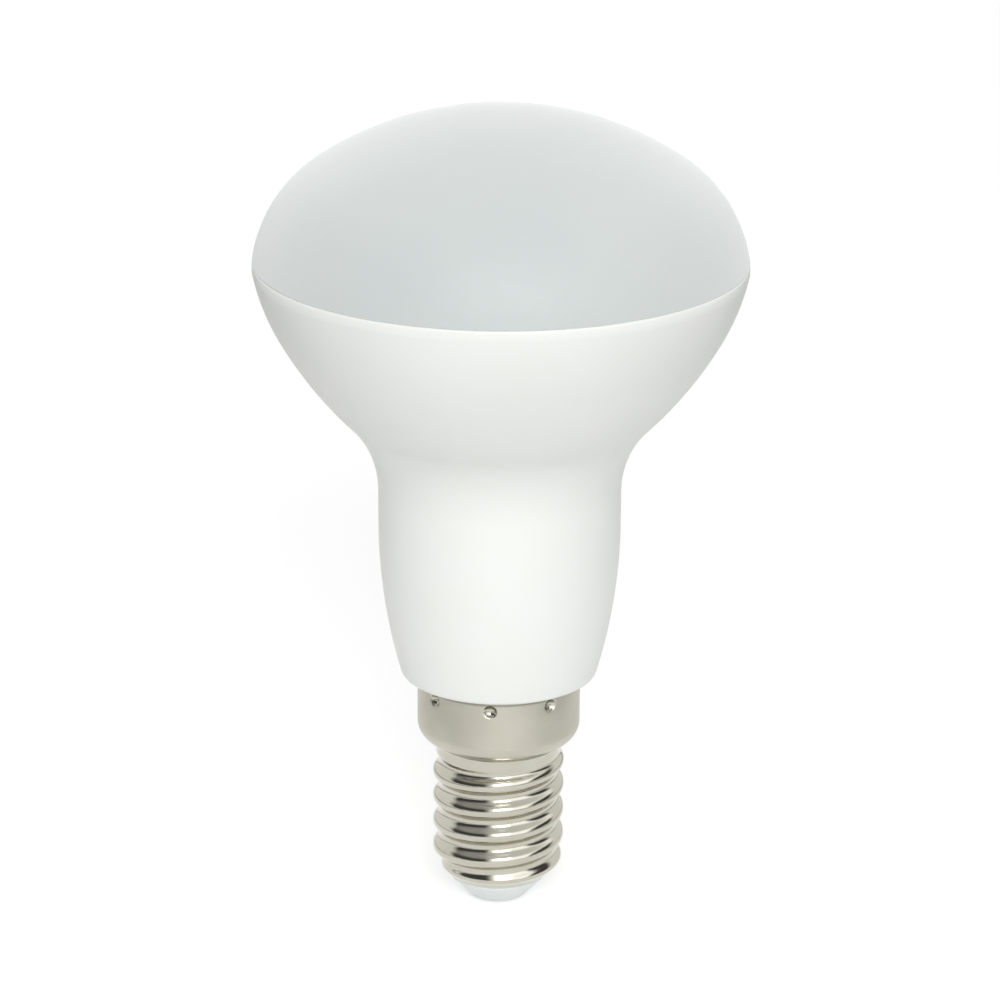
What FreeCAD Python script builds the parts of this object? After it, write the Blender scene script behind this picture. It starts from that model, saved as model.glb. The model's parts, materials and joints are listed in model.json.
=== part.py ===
import FreeCAD, Part
import math
import os
import re

import Sketcher
from FreeCAD import Vector

# Reflector lamp with a screw cap, upright, cap down. Lengths are millimetres, angles degrees.
# The lamp's axis is Z, and the bottom of its centre contact is at Z = 0.

SIZES = (
    # Head: diffuser dome and housing bowl
    ("rim_radius", 25.0, "widest radius, at the seam of dome and bowl"),
    ("overall_length", 85.0, "bottom of the contact to the top of the dome"),
    ("dome_height", 15.2, "dome above the seam of diffuser and housing"),
    ("shoulder_radius", 13.8, "dome outline beside the rim"),
    ("shoulder_lean", 8.5, "lean of the dome's wall at the seam"),
    ("diffuser_wall", 1.2, "opal shell"),
    ("skirt_depth", 2.8, "diffuser skirt inside the housing's mouth"),
    ("skirt_wall", 1.2, "thickness of that skirt"),
    ("bead_depth", 0.3, "snap bead on the skirt"),
    ("bead_height", 1.0, "length of the bead along the axis"),
    ("lip_height", 0.9, "upright band under the seam"),
    ("rim_round", 0.25, "rounding of the housing's top edge"),
    ("rim_arc_radius", 22.6, "upper arc of the bowl"),
    ("rim_lean", 11.5, "lean of the bowl's wall at the rim"),
    ("bowl_arc_radius", 41.5, "lower arc of the bowl"),
    ("bowl_lean", 29.2, "lean of the wall where those arcs meet"),
    ("throat_arc_radius", 11.2, "hollow arc between bowl and neck"),
    # Neck
    ("neck_radius", 12.45, "upright part of the neck"),
    ("neck_taper_share", 0.83, "share of the neck's height over which it tapers"),
    ("foot_radius", 10.12, "housing at its lower face"),
    ("housing_bottom", 25.5, "lower face of the housing"),
    ("bottom_round", 0.6, "rounding of the housing's lower edge"),
    ("housing_wall", 1.6, "wall of bowl, neck and floor"),
    # Screw cap
    ("collar_radius", 8.47, "plain collar of the screw shell"),
    ("collar_gap", 0.1, "collar's upper edge below the housing"),
    ("collar_round_height", 20.0, "where the collar turns inwards"),
    ("collar_round", 1.9, "outer arc of that turn"),
    ("collar_hollow", 1.0, "hollow arc from the turn to the thread"),
    ("shell_wall", 0.3, "sheet of the screw shell"),
    ("thread_major_radius", 6.9, "crest of the thread"),
    ("thread_minor_radius", 6.1, "root of the thread"),
    ("thread_pitch", 2.822, "rise in one turn"),
    ("thread_crest_height", 7.16, "a crest on the +X side"),
    ("thread_top", 17.1, "the thread has run out here"),
    ("thread_bottom", 3.0, "and here, below"),
    ("thread_runout", 1.6, "length over which it fades"),
    ("shell_round_height", 5.7, "where the shell turns in towards its lower edge"),
    ("shell_round", 4.0, "arc of that turn"),
    ("shell_edge_height", 2.9, "lower edge of the shell"),
    ("crimp_count", 8, "punched dents that stake the collar"),
    ("crimp_height", 24.1, "middle of the dents"),
    ("crimp_angle", -6.0, "dent nearest the front, turned from -Y towards +X"),
    ("crimp_punch_radius", 0.75, "round end of the punch"),
    ("crimp_depth", 0.45, "depth of a dent"),
    ("spigot_length", 4.7, "housing spigot inside the collar"),
    ("spigot_wall", 1.4, "wall of the spigot"),
    ("spigot_groove", 0.6, "depth of the groove behind the dents"),
    ("spigot_groove_height", 2.4, "height of that groove"),
    ("fit_clearance", 0.05, "slack between pieces that plug together"),
    ("contact_radius", 2.3, "button of the centre contact"),
    ("contact_thickness", 0.35, "thickness of the button"),
    ("contact_bevel", 0.12, "bevel of the button"),
    ("contact_stem_radius", 0.95, "stem through the insulator"),
    ("contact_stem_above", 0.4, "stem above the insulator"),
    ("contact_floor", 1.2, "solid metal under the stem's bore"),
    ("insulator_tip_radius", 3.2, "insulator beside the button"),
    ("insulator_bevel", 0.2, "bevel there"),
    ("insulator_drop", 0.35, "end of the insulator's cone below the shell's edge"),
    ("insulator_flange_rise", 1.1, "from the shell's edge to the flange's full radius"),
    ("insulator_flange_radius", 5.35, "flange inside the shell"),
    ("insulator_flange_height", 1.2, "upright edge of the flange"),
    # Light source
    ("sink_inset", 5.6, "drawn cup under the LED board, in from the rim"),
    ("sink_wall", 1.2, "sheet of the cup"),
    ("sink_drop", 4.1, "upper face of the cup below the seam"),
    ("sink_depth", 6.2, "cup, down to the ledge in the bowl that carries it"),
    ("sink_hole_radius", 4.4, "passage for the two pins"),
    ("led_board_inset", 0.8, "aluminium-core board, in from the cup's edge"),
    ("led_board_thickness", 1.2, "thickness of that board"),
    ("led_count", 10, "LEDs on one ring"),
    ("led_inset", 3.6, "centres of the LEDs, in from the board's edge"),
    ("led_length", 3.5, "LED package along the radius"),
    ("led_width", 2.8, "LED package across"),
    ("led_height", 0.7, "LED package"),
    ("screw_radius", 1.25, "shank"),
    ("screw_length", 5.0, "shank below the head"),
    ("screw_head_radius", 2.2, "pan head"),
    ("screw_head_height", 1.5, "pan head"),
    # Driver
    ("lead_radius", 0.35, "pins and leads"),
    ("pin_offset", 3.0, "output pins either side of the axis"),
    ("pin_overlap", 5.0, "pins along the driver board"),
    ("pin_above", 0.6, "pins above the LED board"),
    ("driver_width", 17.4, "circuit board in the neck"),
    ("driver_share", 0.76, "share of the height between floor and cup that the board takes"),
    ("driver_thickness", 1.0, "circuit board"),
    ("rail_height", 6.4, "slotted rails above the floor"),
    ("rail_width", 0.9, "each rail across the board"),
    ("rail_grip", 0.9, "rail over the board's edge"),
    ("rail_root", 1.0, "rail beyond the board's edge, in the wall"),
    ("choke_radius", 3.5, "drum core flanges"),
    ("choke_waist_radius", 1.8, "drum core inside the winding"),
    ("choke_winding_radius", 3.2, "copper winding"),
    ("choke_flange", 1.2, "thickness of each flange"),
    ("choke_height", 7.0, "drum core"),
    ("choke_base", 28.3, "lower face of the choke"),
    ("can_radius", 4.0, "sealed capacitor can"),
    ("can_height", 10.0, "sealed capacitor can"),
    ("can_base", 36.5, "lower face of the can"),
    ("can_groove", 0.3, "rolled groove of the can, also its bevels"),
    ("can_groove_height", 1.0, "lower edge of the groove"),
    ("film_length", 3.0, "film capacitor across the board"),
    ("film_depth", 3.6, "film capacitor off the board"),
    ("film_height", 7.0, "film capacitor along the board"),
    ("film_offset", 4.0, "film capacitor from the axis"),
    ("film_base", 28.3, "lower face of the film capacitor"),
    ("package_depth", 1.5, "surface-mount packages off the board"),
    ("bridge_width", 4.7, "bridge rectifier across the board"),
    ("bridge_height", 4.0, "bridge rectifier along the board"),
    ("bridge_base", 36.9, "its lower edge"),
    ("chip_width", 5.0, "driver IC across the board"),
    ("chip_height", 4.0, "driver IC along the board"),
    ("chip_base", 31.7, "its lower edge"),
    ("diode_width", 4.2, "freewheel diode across the board"),
    ("diode_height", 2.4, "freewheel diode along the board"),
    ("diode_base", 41.8, "its lower edge"),
    ("resistor_count", 3, "chip resistors"),
    ("resistor_width", 2.0, "chip resistor across the board"),
    ("resistor_height", 1.25, "chip resistor along the board"),
    ("resistor_depth", 0.6, "chip resistor off the board"),
    ("resistor_offset", 4.4, "chip resistors from the axis"),
    ("resistor_base", 31.7, "lowest chip resistor"),
    ("resistor_step", 3.0, "rise from one to the next"),
    ("fusible_radius", 1.6, "body of the fusible resistor"),
    ("fusible_length", 9.0, "fusible resistor"),
    ("fusible_base", 9.5, "lower end of its body"),
    ("fusible_bevel", 0.4, "bevels of its body"),
    ("lead_top", 30.5, "leads end here, on the driver board"),
    ("shell_lead_offset", 5.9, "wire to the screw shell, from the axis"),
    ("shell_lead_bend", 1.0, "its bend below the spigot"),
    ("shell_lead_drop", 0.05, "its gap below the spigot"),
)

doc = FreeCAD.newDocument("reflector_lamp")
sheet = doc.addObject("Spreadsheet::Sheet", "sizes")
for row, (name, value, note) in enumerate(SIZES, start=1):
    sheet.set(f"A{row}", str(value))
    sheet.setAlias(f"A{row}", name)
    sheet.set(f"B{row}", note)
doc.recompute()

# Heights and radii that follow from the sizes, as formulas in the sizes' names. CUT_PAST is how
# far a cut runs beyond the face that it opens. Points closer than NEAR_ENOUGH are taken as one.
SEAM = "(overall_length - dome_height)"
RIM_CENTRE_ACROSS = "(rim_radius - rim_arc_radius * cos(rim_lean))"
RIM_CENTRE_UP = f"({SEAM} - lip_height + rim_arc_radius * sin(rim_lean))"
BOWL_CENTRE_ACROSS = f"({RIM_CENTRE_ACROSS} - (bowl_arc_radius - rim_arc_radius) * cos(bowl_lean))"
BOWL_CENTRE_UP = f"({RIM_CENTRE_UP} + (bowl_arc_radius - rim_arc_radius) * sin(bowl_lean))"
THROAT_REACH = "(bowl_arc_radius + throat_arc_radius)"
THROAT_LEAN = f"acos((neck_radius + throat_arc_radius - {BOWL_CENTRE_ACROSS}) / {THROAT_REACH})"
THROAT_UP = f"({BOWL_CENTRE_UP} - {THROAT_REACH} * sin({THROAT_LEAN}))"
TAPER_HEIGHT = f"(({THROAT_UP} - housing_bottom) * neck_taper_share)"
TAPER_DEPTH = "(neck_radius - foot_radius)"
TAPER_RADIUS = f"(({TAPER_HEIGHT}^2 + {TAPER_DEPTH}^2) / (2 * {TAPER_DEPTH}))"
SHELL_MID_RADIUS = "(thread_major_radius + thread_minor_radius) / 2"
COLLAR_TOP = "(housing_bottom - collar_gap)"
COLLAR_BORE = "(collar_radius - shell_wall)"
SPIGOT_RADIUS = f"({COLLAR_BORE} - fit_clearance)"
SPIGOT_BOTTOM = "(housing_bottom - spigot_length)"
SPIGOT_BORE = f"({SPIGOT_RADIUS} - spigot_wall)"
FLOOR = "(housing_bottom + housing_wall)"
MOUTH_RADIUS = "(rim_radius - housing_wall)"
SKIRT_RADIUS = f"({MOUTH_RADIUS} - fit_clearance)"
SKIRT_BOTTOM = f"({SEAM} - skirt_depth)"
BEAD_MIDDLE = f"({SEAM} - skirt_depth / 2)"
SINK_RADIUS = "(rim_radius - sink_inset)"
SINK_TOP = f"({SEAM} - sink_drop)"
SINK_SEAT = f"({SINK_TOP} - sink_depth)"
LED_BOARD_RADIUS = f"({SINK_RADIUS} - led_board_inset)"
LED_BOARD_TOP = f"({SINK_TOP} + led_board_thickness)"
LED_INNER_RADIUS = f"({LED_BOARD_RADIUS} - led_inset - led_length / 2)"
SCREW_OFFSET = f"((sink_hole_radius + {LED_INNER_RADIUS}) / 2)"
HOLE_RADIUS = "(lead_radius + fit_clearance)"
DRIVER_HEIGHT = f"(({SINK_TOP} - sink_wall - {FLOOR}) * driver_share)"
DRIVER_TOP = f"({FLOOR} + {DRIVER_HEIGHT})"
DRIVER_BACK = "(lead_radius + driver_thickness)"
CUT_PAST = "1"
NEAR_ENOUGH = 0.002


def in_sheet(formula):
    """The formula with each size's name led by the sheet's name."""
    names = {name for name, value, note in SIZES}

    def lead(match):
        word = match.group(0)
        return f"{sheet.Name}.{word}" if word in names else word

    return re.sub(r"[a-z_]+", lead, formula)


def worth(formula):
    """The formula's value with the sizes as they stand in the sheet."""
    result = sheet.evalExpression(formula)
    return float(getattr(result, "Value", result))


def bind(target, property_name, formula):
    """Ties a property to a formula in the sizes."""
    target.setExpression(property_name, in_sheet(formula))


def new_body(name):
    body = doc.addObject("PartDesign::Body", name)
    body.Label = name
    return body


def new_sketch(body, name, plane="XZ_Plane", height="0"):
    """A sketch on one of the body's own origin planes, or on that plane lifted by a height."""
    sketch = body.newObject("Sketcher::SketchObject", name)
    support = next(item for item in body.Origin.OriginFeatures if item.Role == plane)
    sketch.AttachmentSupport = (support, [""])
    sketch.MapMode = "FlatFace"
    if height != "0":
        bind(sketch, "AttachmentOffset.Base.z", height)
    return sketch


def hold(sketch, kind, *where, formula):
    """Adds a dimension to a sketch and ties it to a formula."""
    index = sketch.addConstraint(Sketcher.Constraint(kind, *where, worth(formula)))
    bind(sketch, f"Constraints[{index}]", formula)


def hold_across(sketch, geometry, end, formula):
    if formula == "0":
        sketch.addConstraint(Sketcher.Constraint("PointOnObject", geometry, end, -2))
    else:
        hold(sketch, "DistanceX", -1, 1, geometry, end, formula=formula)


def hold_up(sketch, geometry, end, formula):
    if formula == "0":
        sketch.addConstraint(Sketcher.Constraint("PointOnObject", geometry, end, -1))
    else:
        hold(sketch, "DistanceY", -1, 1, geometry, end, formula=formula)


def place(sketch, geometry, end, across, up):
    """Fixes a point of a sketch by its distances from the sketch's origin."""
    hold_across(sketch, geometry, end, across)
    hold_up(sketch, geometry, end, up)


def line(sketch, start, end):
    return sketch.addGeometry(Part.LineSegment(start, end))


def arc(sketch, centre, radius, start, end):
    """An arc drawn anticlockwise between two angles, with its radius not yet held."""
    circle = Part.Circle(centre, Vector(0, 0, 1), radius)
    return sketch.addGeometry(Part.ArcOfCircle(circle, start, end))


def join(sketch, kind, first, first_end, second, second_end):
    sketch.addConstraint(Sketcher.Constraint(kind, first, first_end, second, second_end))


def path(sketch, start, nodes, end):
    """Straight lines from one drawn end, through nodes given as formulas, to another drawn end."""
    points = [Vector(worth(across), worth(up), 0) for across, up in nodes]
    points = [sketch.getPoint(*start)] + points + [sketch.getPoint(*end)]
    last = start
    for index, (here, there) in enumerate(zip(points, points[1:])):
        segment = line(sketch, here, there)
        join(sketch, "Coincident", *last, segment, 1)
        if index < len(nodes):
            place(sketch, segment, 2, *nodes[index])
        last = (segment, 2)
    join(sketch, "Coincident", *last, *end)


def polygon(sketch, nodes):
    """A closed outline of straight lines through nodes given as formulas."""
    points = [Vector(worth(across), worth(up), 0) for across, up in nodes]
    first = sketch.GeometryCount
    for here, there in zip(points, points[1:] + points[:1]):
        line(sketch, here, there)
    for index, (across, up) in enumerate(nodes):
        previous = first + (index - 1) % len(nodes)
        join(sketch, "Coincident", previous, 2, first + index, 1)
        place(sketch, first + index, 1, across, up)


def circle(sketch, across, up, radius):
    centre = Vector(worth(across), worth(up), 0)
    index = sketch.addGeometry(Part.Circle(centre, Vector(0, 0, 1), worth(radius)))
    place(sketch, index, 3, across, up)
    hold(sketch, "Radius", index, formula=radius)


def turn(body, name, sketch, kind="Revolution"):
    """Turns a sketch once round the body's Z axis, to add it or, as a Groove, to cut it."""
    feature = body.newObject(f"PartDesign::{kind}", name)
    feature.Profile = sketch
    feature.ReferenceAxis = (sketch, ["V_Axis"])
    feature.Angle = 360
    return feature


def turned_polygon(body, name, nodes, kind="Revolution"):
    sketch = new_sketch(body, f"{name}_outline")
    polygon(sketch, nodes)
    return turn(body, name, sketch, kind)


def pad(body, name, sketch, length):
    feature = body.newObject("PartDesign::Pad", name)
    feature.Profile = sketch
    bind(feature, "Length", length)
    return feature


def drill(body, name, sketch):
    """Cuts a sketch down through the whole body."""
    feature = body.newObject("PartDesign::Pocket", name)
    feature.Profile = sketch
    feature.Type = "ThroughAll"
    return feature


def round_circle(body, name, radius_of_edge, height_of_edge, radius):
    """Rounds the one circular edge of the body's last feature with this radius and height."""
    doc.recompute()
    base = body.Tip
    centre = Vector(0, 0, height_of_edge)
    names = [
        f"Edge{index}"
        for index, edge in enumerate(base.Shape.Edges, start=1)
        if isinstance(edge.Curve, Part.Circle)
        and edge.Curve.Center.isEqual(centre, NEAR_ENOUGH)
        and abs(edge.Curve.Radius - radius_of_edge) < NEAR_ENOUGH
    ]
    feature = body.newObject("PartDesign::Fillet", name)
    feature.Base = (base, names)
    bind(feature, "Radius", radius)
    return feature


def polar(centre, radius, angle):
    return centre + Vector(radius * math.cos(angle), radius * math.sin(angle), 0)


# Diffuser: a dome of two arcs, with a ledge on the housing's edge and a snap skirt below.

def make_diffuser():
    body = new_body("diffuser")
    sketch = new_sketch(body, "diffuser_outline")
    lean = math.radians(worth("shoulder_lean"))
    shoulder_radius = worth("shoulder_radius")
    wall = worth("diffuser_wall")
    rim = Vector(worth("rim_radius"), worth(SEAM), 0)
    shoulder = rim - Vector(shoulder_radius * math.cos(lean), shoulder_radius * math.sin(lean), 0)
    rise = worth("overall_length") - shoulder.y
    crown_radius = (shoulder.x**2 + rise**2 - shoulder_radius**2) / (2 * (rise - shoulder_radius))
    crown = Vector(0, worth("overall_length") - crown_radius, 0)
    meeting = math.atan2(shoulder.y - crown.y, shoulder.x)
    upright = math.pi / 2

    outer_shoulder = arc(sketch, shoulder, shoulder_radius, lean, meeting)
    outer_crown = arc(sketch, crown, crown_radius, meeting, upright)
    place(sketch, outer_shoulder, 1, "rim_radius", SEAM)
    hold(sketch, "Radius", outer_shoulder, formula="shoulder_radius")
    hold_up(sketch, outer_shoulder, 3, f"{SEAM} - shoulder_radius * sin(shoulder_lean)")
    join(sketch, "Tangent", outer_shoulder, 2, outer_crown, 1)
    hold_across(sketch, outer_crown, 3, "0")
    place(sketch, outer_crown, 2, "0", "overall_length")

    ledge = math.asin((rim.y + wall - shoulder.y) / (shoulder_radius - wall))
    inner_shoulder = arc(sketch, shoulder, shoulder_radius - wall, ledge, meeting)
    inner_crown = arc(sketch, crown, crown_radius - wall, meeting, upright)
    join(sketch, "Coincident", inner_shoulder, 3, outer_shoulder, 3)
    join(sketch, "Coincident", inner_crown, 3, outer_crown, 3)
    hold(sketch, "Radius", inner_shoulder, formula="shoulder_radius - diffuser_wall")
    hold_up(sketch, inner_shoulder, 1, f"{SEAM} + diffuser_wall")
    join(sketch, "Tangent", inner_shoulder, 2, inner_crown, 1)
    hold_across(sketch, inner_crown, 2, "0")

    path(sketch, (outer_crown, 2), [], (inner_crown, 2))
    bead_radius = f"({SKIRT_RADIUS} + bead_depth)"
    bead_top = f"({BEAD_MIDDLE} + bead_height / 2)"
    bead_bottom = f"({BEAD_MIDDLE} - bead_height / 2)"
    skirt_bore = f"({SKIRT_RADIUS} - skirt_wall)"
    skirt = [
        (skirt_bore, f"{SEAM} + diffuser_wall"),
        (skirt_bore, SKIRT_BOTTOM),
        (SKIRT_RADIUS, SKIRT_BOTTOM),
        (SKIRT_RADIUS, bead_bottom),
        (bead_radius, bead_bottom),
        (bead_radius, bead_top),
        (SKIRT_RADIUS, bead_top),
        (SKIRT_RADIUS, SEAM),
    ]
    path(sketch, (inner_shoulder, 1), skirt, (outer_shoulder, 1))
    turn(body, "dome", sketch)


# Housing: a bowl of two arcs, a hollow throat, an upright neck that one long arc tapers, and a
# spigot for the screw cap. The cavity follows the same outline, set in by the wall.

def bowl_and_neck(sketch, skin):
    """Draws the outline from the rim down to the housing's foot, set in by the formula skin.

    Returns the upper end and the lower end.
    """
    inset = worth(skin)
    rim_lean = math.radians(worth("rim_lean"))
    bowl_lean = math.radians(worth("bowl_lean"))
    throat_lean = math.radians(worth(THROAT_LEAN))
    rim_radius = worth("rim_arc_radius")
    bowl_radius = worth("bowl_arc_radius")
    throat_radius = worth("throat_arc_radius")
    neck = worth("neck_radius")
    taper_radius = worth(TAPER_RADIUS)
    taper_top = worth(f"housing_bottom + {TAPER_HEIGHT}")
    foot = worth(f"housing_bottom + {skin}")

    rim = Vector(worth(RIM_CENTRE_ACROSS), worth(RIM_CENTRE_UP), 0)
    bowl = Vector(worth(BOWL_CENTRE_ACROSS), worth(BOWL_CENTRE_UP), 0)
    throat = Vector(neck + throat_radius, worth(THROAT_UP), 0)
    taper = Vector(neck - taper_radius, taper_top, 0)
    foot_lean = math.asin((taper_top - foot) / (taper_radius - inset))

    rim_arc = arc(sketch, rim, rim_radius - inset, -bowl_lean, -rim_lean)
    bowl_arc = arc(sketch, bowl, bowl_radius - inset, -throat_lean, -bowl_lean)
    throat_arc = arc(sketch, throat, throat_radius + inset, math.pi - throat_lean, math.pi)
    neck_line = line(sketch, Vector(neck - inset, throat.y, 0), Vector(neck - inset, taper_top, 0))
    taper_arc = arc(sketch, taper, taper_radius - inset, -foot_lean, 0)

    place(sketch, rim_arc, 3, RIM_CENTRE_ACROSS, RIM_CENTRE_UP)
    hold(sketch, "Radius", rim_arc, formula=f"rim_arc_radius - {skin}")
    hold_across(sketch, rim_arc, 2, f"rim_radius - {skin} * cos(rim_lean)")
    place(sketch, bowl_arc, 3, BOWL_CENTRE_ACROSS, BOWL_CENTRE_UP)
    join(sketch, "Tangent", bowl_arc, 2, rim_arc, 1)
    hold(sketch, "Radius", throat_arc, formula=f"throat_arc_radius + {skin}")
    join(sketch, "Tangent", throat_arc, 1, bowl_arc, 1)
    join(sketch, "Tangent", throat_arc, 2, neck_line, 1)
    sketch.addConstraint(Sketcher.Constraint("Vertical", neck_line))
    hold_across(sketch, neck_line, 1, f"neck_radius - {skin}")
    hold(sketch, "Radius", taper_arc, formula=f"{TAPER_RADIUS} - {skin}")
    join(sketch, "Tangent", neck_line, 2, taper_arc, 2)
    hold_up(sketch, taper_arc, 2, f"housing_bottom + {TAPER_HEIGHT}")
    hold_up(sketch, taper_arc, 1, f"housing_bottom + {skin}")
    return (rim_arc, 2), (taper_arc, 1)


def make_housing():
    body = new_body("housing")
    outside = new_sketch(body, "housing_outside")
    lip, foot = bowl_and_neck(outside, "0")
    edge = outside.getPoint(*foot)
    spigot = [
        (SPIGOT_RADIUS, "housing_bottom"),
        (SPIGOT_RADIUS, SPIGOT_BOTTOM),
        ("0", SPIGOT_BOTTOM),
        ("0", SEAM),
        ("rim_radius", SEAM),
    ]
    path(outside, foot, spigot, lip)
    turn(body, "housing_solid", outside)
    round_circle(body, "rim_rounding", worth("rim_radius"), worth(SEAM), "rim_round")
    round_circle(body, "bottom_rounding", edge.x, edge.y, "bottom_round")

    inside = new_sketch(body, "housing_inside")
    mouth, floor = bowl_and_neck(inside, "housing_wall")
    bore = [
        (SPIGOT_BORE, FLOOR),
        (SPIGOT_BORE, f"{SPIGOT_BOTTOM} - {CUT_PAST}"),
        ("0", f"{SPIGOT_BOTTOM} - {CUT_PAST}"),
        ("0", f"{SEAM} + {CUT_PAST}"),
        (MOUTH_RADIUS, f"{SEAM} + {CUT_PAST}"),
    ]
    path(inside, floor, bore, mouth)
    turn(body, "cavity", inside, "Groove")

    bead_radius = f"({MOUTH_RADIUS} + bead_depth)"
    bead_top = f"({BEAD_MIDDLE} + bead_height / 2 + fit_clearance)"
    bead_bottom = f"({BEAD_MIDDLE} - bead_height / 2 - fit_clearance)"
    rebate = [
        ("0", f"{SKIRT_BOTTOM} - fit_clearance"),
        (MOUTH_RADIUS, f"{SKIRT_BOTTOM} - fit_clearance"),
        (MOUTH_RADIUS, bead_bottom),
        (bead_radius, bead_bottom),
        (bead_radius, bead_top),
        (MOUTH_RADIUS, bead_top),
        (MOUTH_RADIUS, f"{SEAM} + {CUT_PAST}"),
        ("0", f"{SEAM} + {CUT_PAST}"),
    ]
    turned_polygon(body, "mouth_rebate", rebate, "Groove")

    seat = [
        ("0", SINK_SEAT),
        (f"{SINK_RADIUS} + fit_clearance", SINK_SEAT),
        (f"{SINK_RADIUS} + fit_clearance", SINK_TOP),
        ("0", SINK_TOP),
    ]
    turned_polygon(body, "sink_seat", seat, "Groove")

    staking = [
        (f"{SPIGOT_RADIUS} - spigot_groove", "crimp_height - spigot_groove_height / 2"),
        (f"{SPIGOT_RADIUS} + {CUT_PAST}", "crimp_height - spigot_groove_height / 2"),
        (f"{SPIGOT_RADIUS} + {CUT_PAST}", "crimp_height + spigot_groove_height / 2"),
        (f"{SPIGOT_RADIUS} - spigot_groove", "crimp_height + spigot_groove_height / 2"),
    ]
    turned_polygon(body, "staking_groove", staking, "Groove")

    rails = new_sketch(body, "rail_outlines", "XY_Plane", f"{FLOOR} - housing_wall / 2")
    for side in ("-", ""):
        for front, back in (
            ("lead_radius - fit_clearance - rail_width", "lead_radius - fit_clearance"),
            (f"{DRIVER_BACK} + fit_clearance", f"{DRIVER_BACK} + fit_clearance + rail_width"),
        ):
            inner = f"{side}(driver_width / 2 - rail_grip)"
            outer = f"{side}(driver_width / 2 + rail_root)"
            polygon(rails, [(inner, front), (outer, front), (outer, back), (inner, back)])
    pad(body, "rails", rails, "rail_height + housing_wall / 2")


# Screw shell: a rolled sheet whose two skins follow one formula, topped by a turned collar.

def smooth_step(share):
    share = min(max(share, 0.0), 1.0)
    return share * share * (3 - 2 * share)


def knuckle(turns):
    """The rounded thread's height over its middle radius, this many turns from a crest."""
    depth = worth("thread_major_radius - thread_minor_radius")
    quarter = worth("thread_pitch") / 4
    lean = 2 * math.atan(depth / (2 * quarter))
    arc_radius = quarter / math.sin(lean)
    offset = abs((turns + 0.5) % 1.0 - 0.5) * 4 * quarter
    if offset <= quarter:
        return depth / 2 - arc_radius + math.sqrt(arc_radius**2 - offset**2)
    offset = 2 * quarter - offset
    return arc_radius - depth / 2 - math.sqrt(arc_radius**2 - offset**2)


def thread_tube(inset, top):
    """Skin of the threaded tube, set in by a distance, from the shell's lower edge to a height.

    The poles of a periodic cubic surface lie on the formula, pushed out a little so that the
    surface itself, which runs inside its poles, keeps the radius and the depth of the thread.
    """
    around = 40
    per_turn = 9
    degree = 3
    pitch = worth("thread_pitch")
    middle = worth(SHELL_MID_RADIUS)
    round_radius = worth("shell_round")
    round_height = worth("shell_round_height")
    crest = worth("thread_crest_height")
    turn_angle = math.asin((round_height - worth("shell_edge_height")) / round_radius)
    round_length = round_radius * turn_angle
    length = round_length + top - round_height
    rows = round(length / pitch * per_turn)
    round_gain = 6 / (4 + 2 * math.cos(2 * math.pi / around))
    wave_gain = 6 / (4 + 2 * math.cos(2 * math.pi / per_turn))
    runout = worth("thread_runout")

    def pole(row, column):
        angle = 2 * math.pi * column / around
        along = length * row / rows - round_length
        lean = min(along, 0.0) / round_radius
        height = round_height + along
        turns = (height - crest) / pitch - column / around
        fade = smooth_step((height - worth("thread_bottom")) / runout)
        fade = fade * smooth_step((worth("thread_top") - height) / runout)
        offset = wave_gain * fade * knuckle(turns) - inset
        radius = middle - round_radius + (round_radius + offset) * math.cos(lean)
        level = round_height + max(along, 0.0) + (round_radius + offset) * math.sin(lean)
        flat = polar(Vector(0, 0, 0), radius * round_gain, angle)
        return Vector(flat.x, flat.y, level)

    poles = [[pole(row, column) for row in range(rows + 1)] for column in range(around)]
    surface = Part.BSplineSurface()
    end_knots = [degree + 1] + [1] * (rows - degree) + [degree + 1]
    surface.buildFromPolesMultsKnots(
        poles,
        [1] * (around + 1),
        end_knots,
        list(range(around + 1)),
        list(range(len(end_knots))),
        True,
        False,
        degree,
        degree,
    )
    return surface.toShape()


def ring_edge(face, highest):
    """The closed edge at the top or the bottom of a tube's skin."""
    rings = [edge for edge in face.Edges if edge.isClosed()]
    return (max if highest else min)(rings, key=lambda edge: edge.CenterOfMass.z)


def collar_solid(foot):
    """Turned sheet from the thread's end at this height up to the collar's upper edge."""
    wall = worth("shell_wall")
    middle = worth(SHELL_MID_RADIUS)
    round_radius = worth("collar_round")
    hollow_radius = worth("collar_hollow")
    collar = worth("collar_radius")
    top = worth(COLLAR_TOP)
    turn_centre = Vector(collar - round_radius, 0, worth("collar_round_height"))
    hollow_centre = Vector(middle + hollow_radius, 0, foot)
    lean = math.atan2(turn_centre.z - hollow_centre.z, hollow_centre.x - turn_centre.x)

    def side(inset):
        turn_reach = round_radius - inset
        hollow_reach = hollow_radius + inset

        def on_turn(angle):
            return turn_centre + Vector(math.cos(angle), 0, -math.sin(angle)) * turn_reach

        def on_hollow(angle):
            return hollow_centre + Vector(-math.cos(angle), 0, math.sin(angle)) * hollow_reach

        return [
            Part.LineSegment(Vector(collar - inset, 0, top), on_turn(0)),
            Part.Arc(on_turn(0), on_turn(lean / 2), on_turn(lean)),
            Part.Arc(on_hollow(lean), on_hollow(lean / 2), on_hollow(0)),
        ]

    outer = side(0)
    inner = side(wall)
    ends = [
        Part.LineSegment(Vector(middle - wall, 0, foot), Vector(middle, 0, foot)),
        Part.LineSegment(Vector(collar - wall, 0, top), Vector(collar, 0, top)),
    ]
    edges = [curve.toShape() for curve in outer + inner + ends]
    outline = Part.Face(Part.Wire(Part.__sortEdges__(edges)))
    return outline.revolve(Vector(0, 0, 0), Vector(0, 0, 1), 360)


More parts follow.
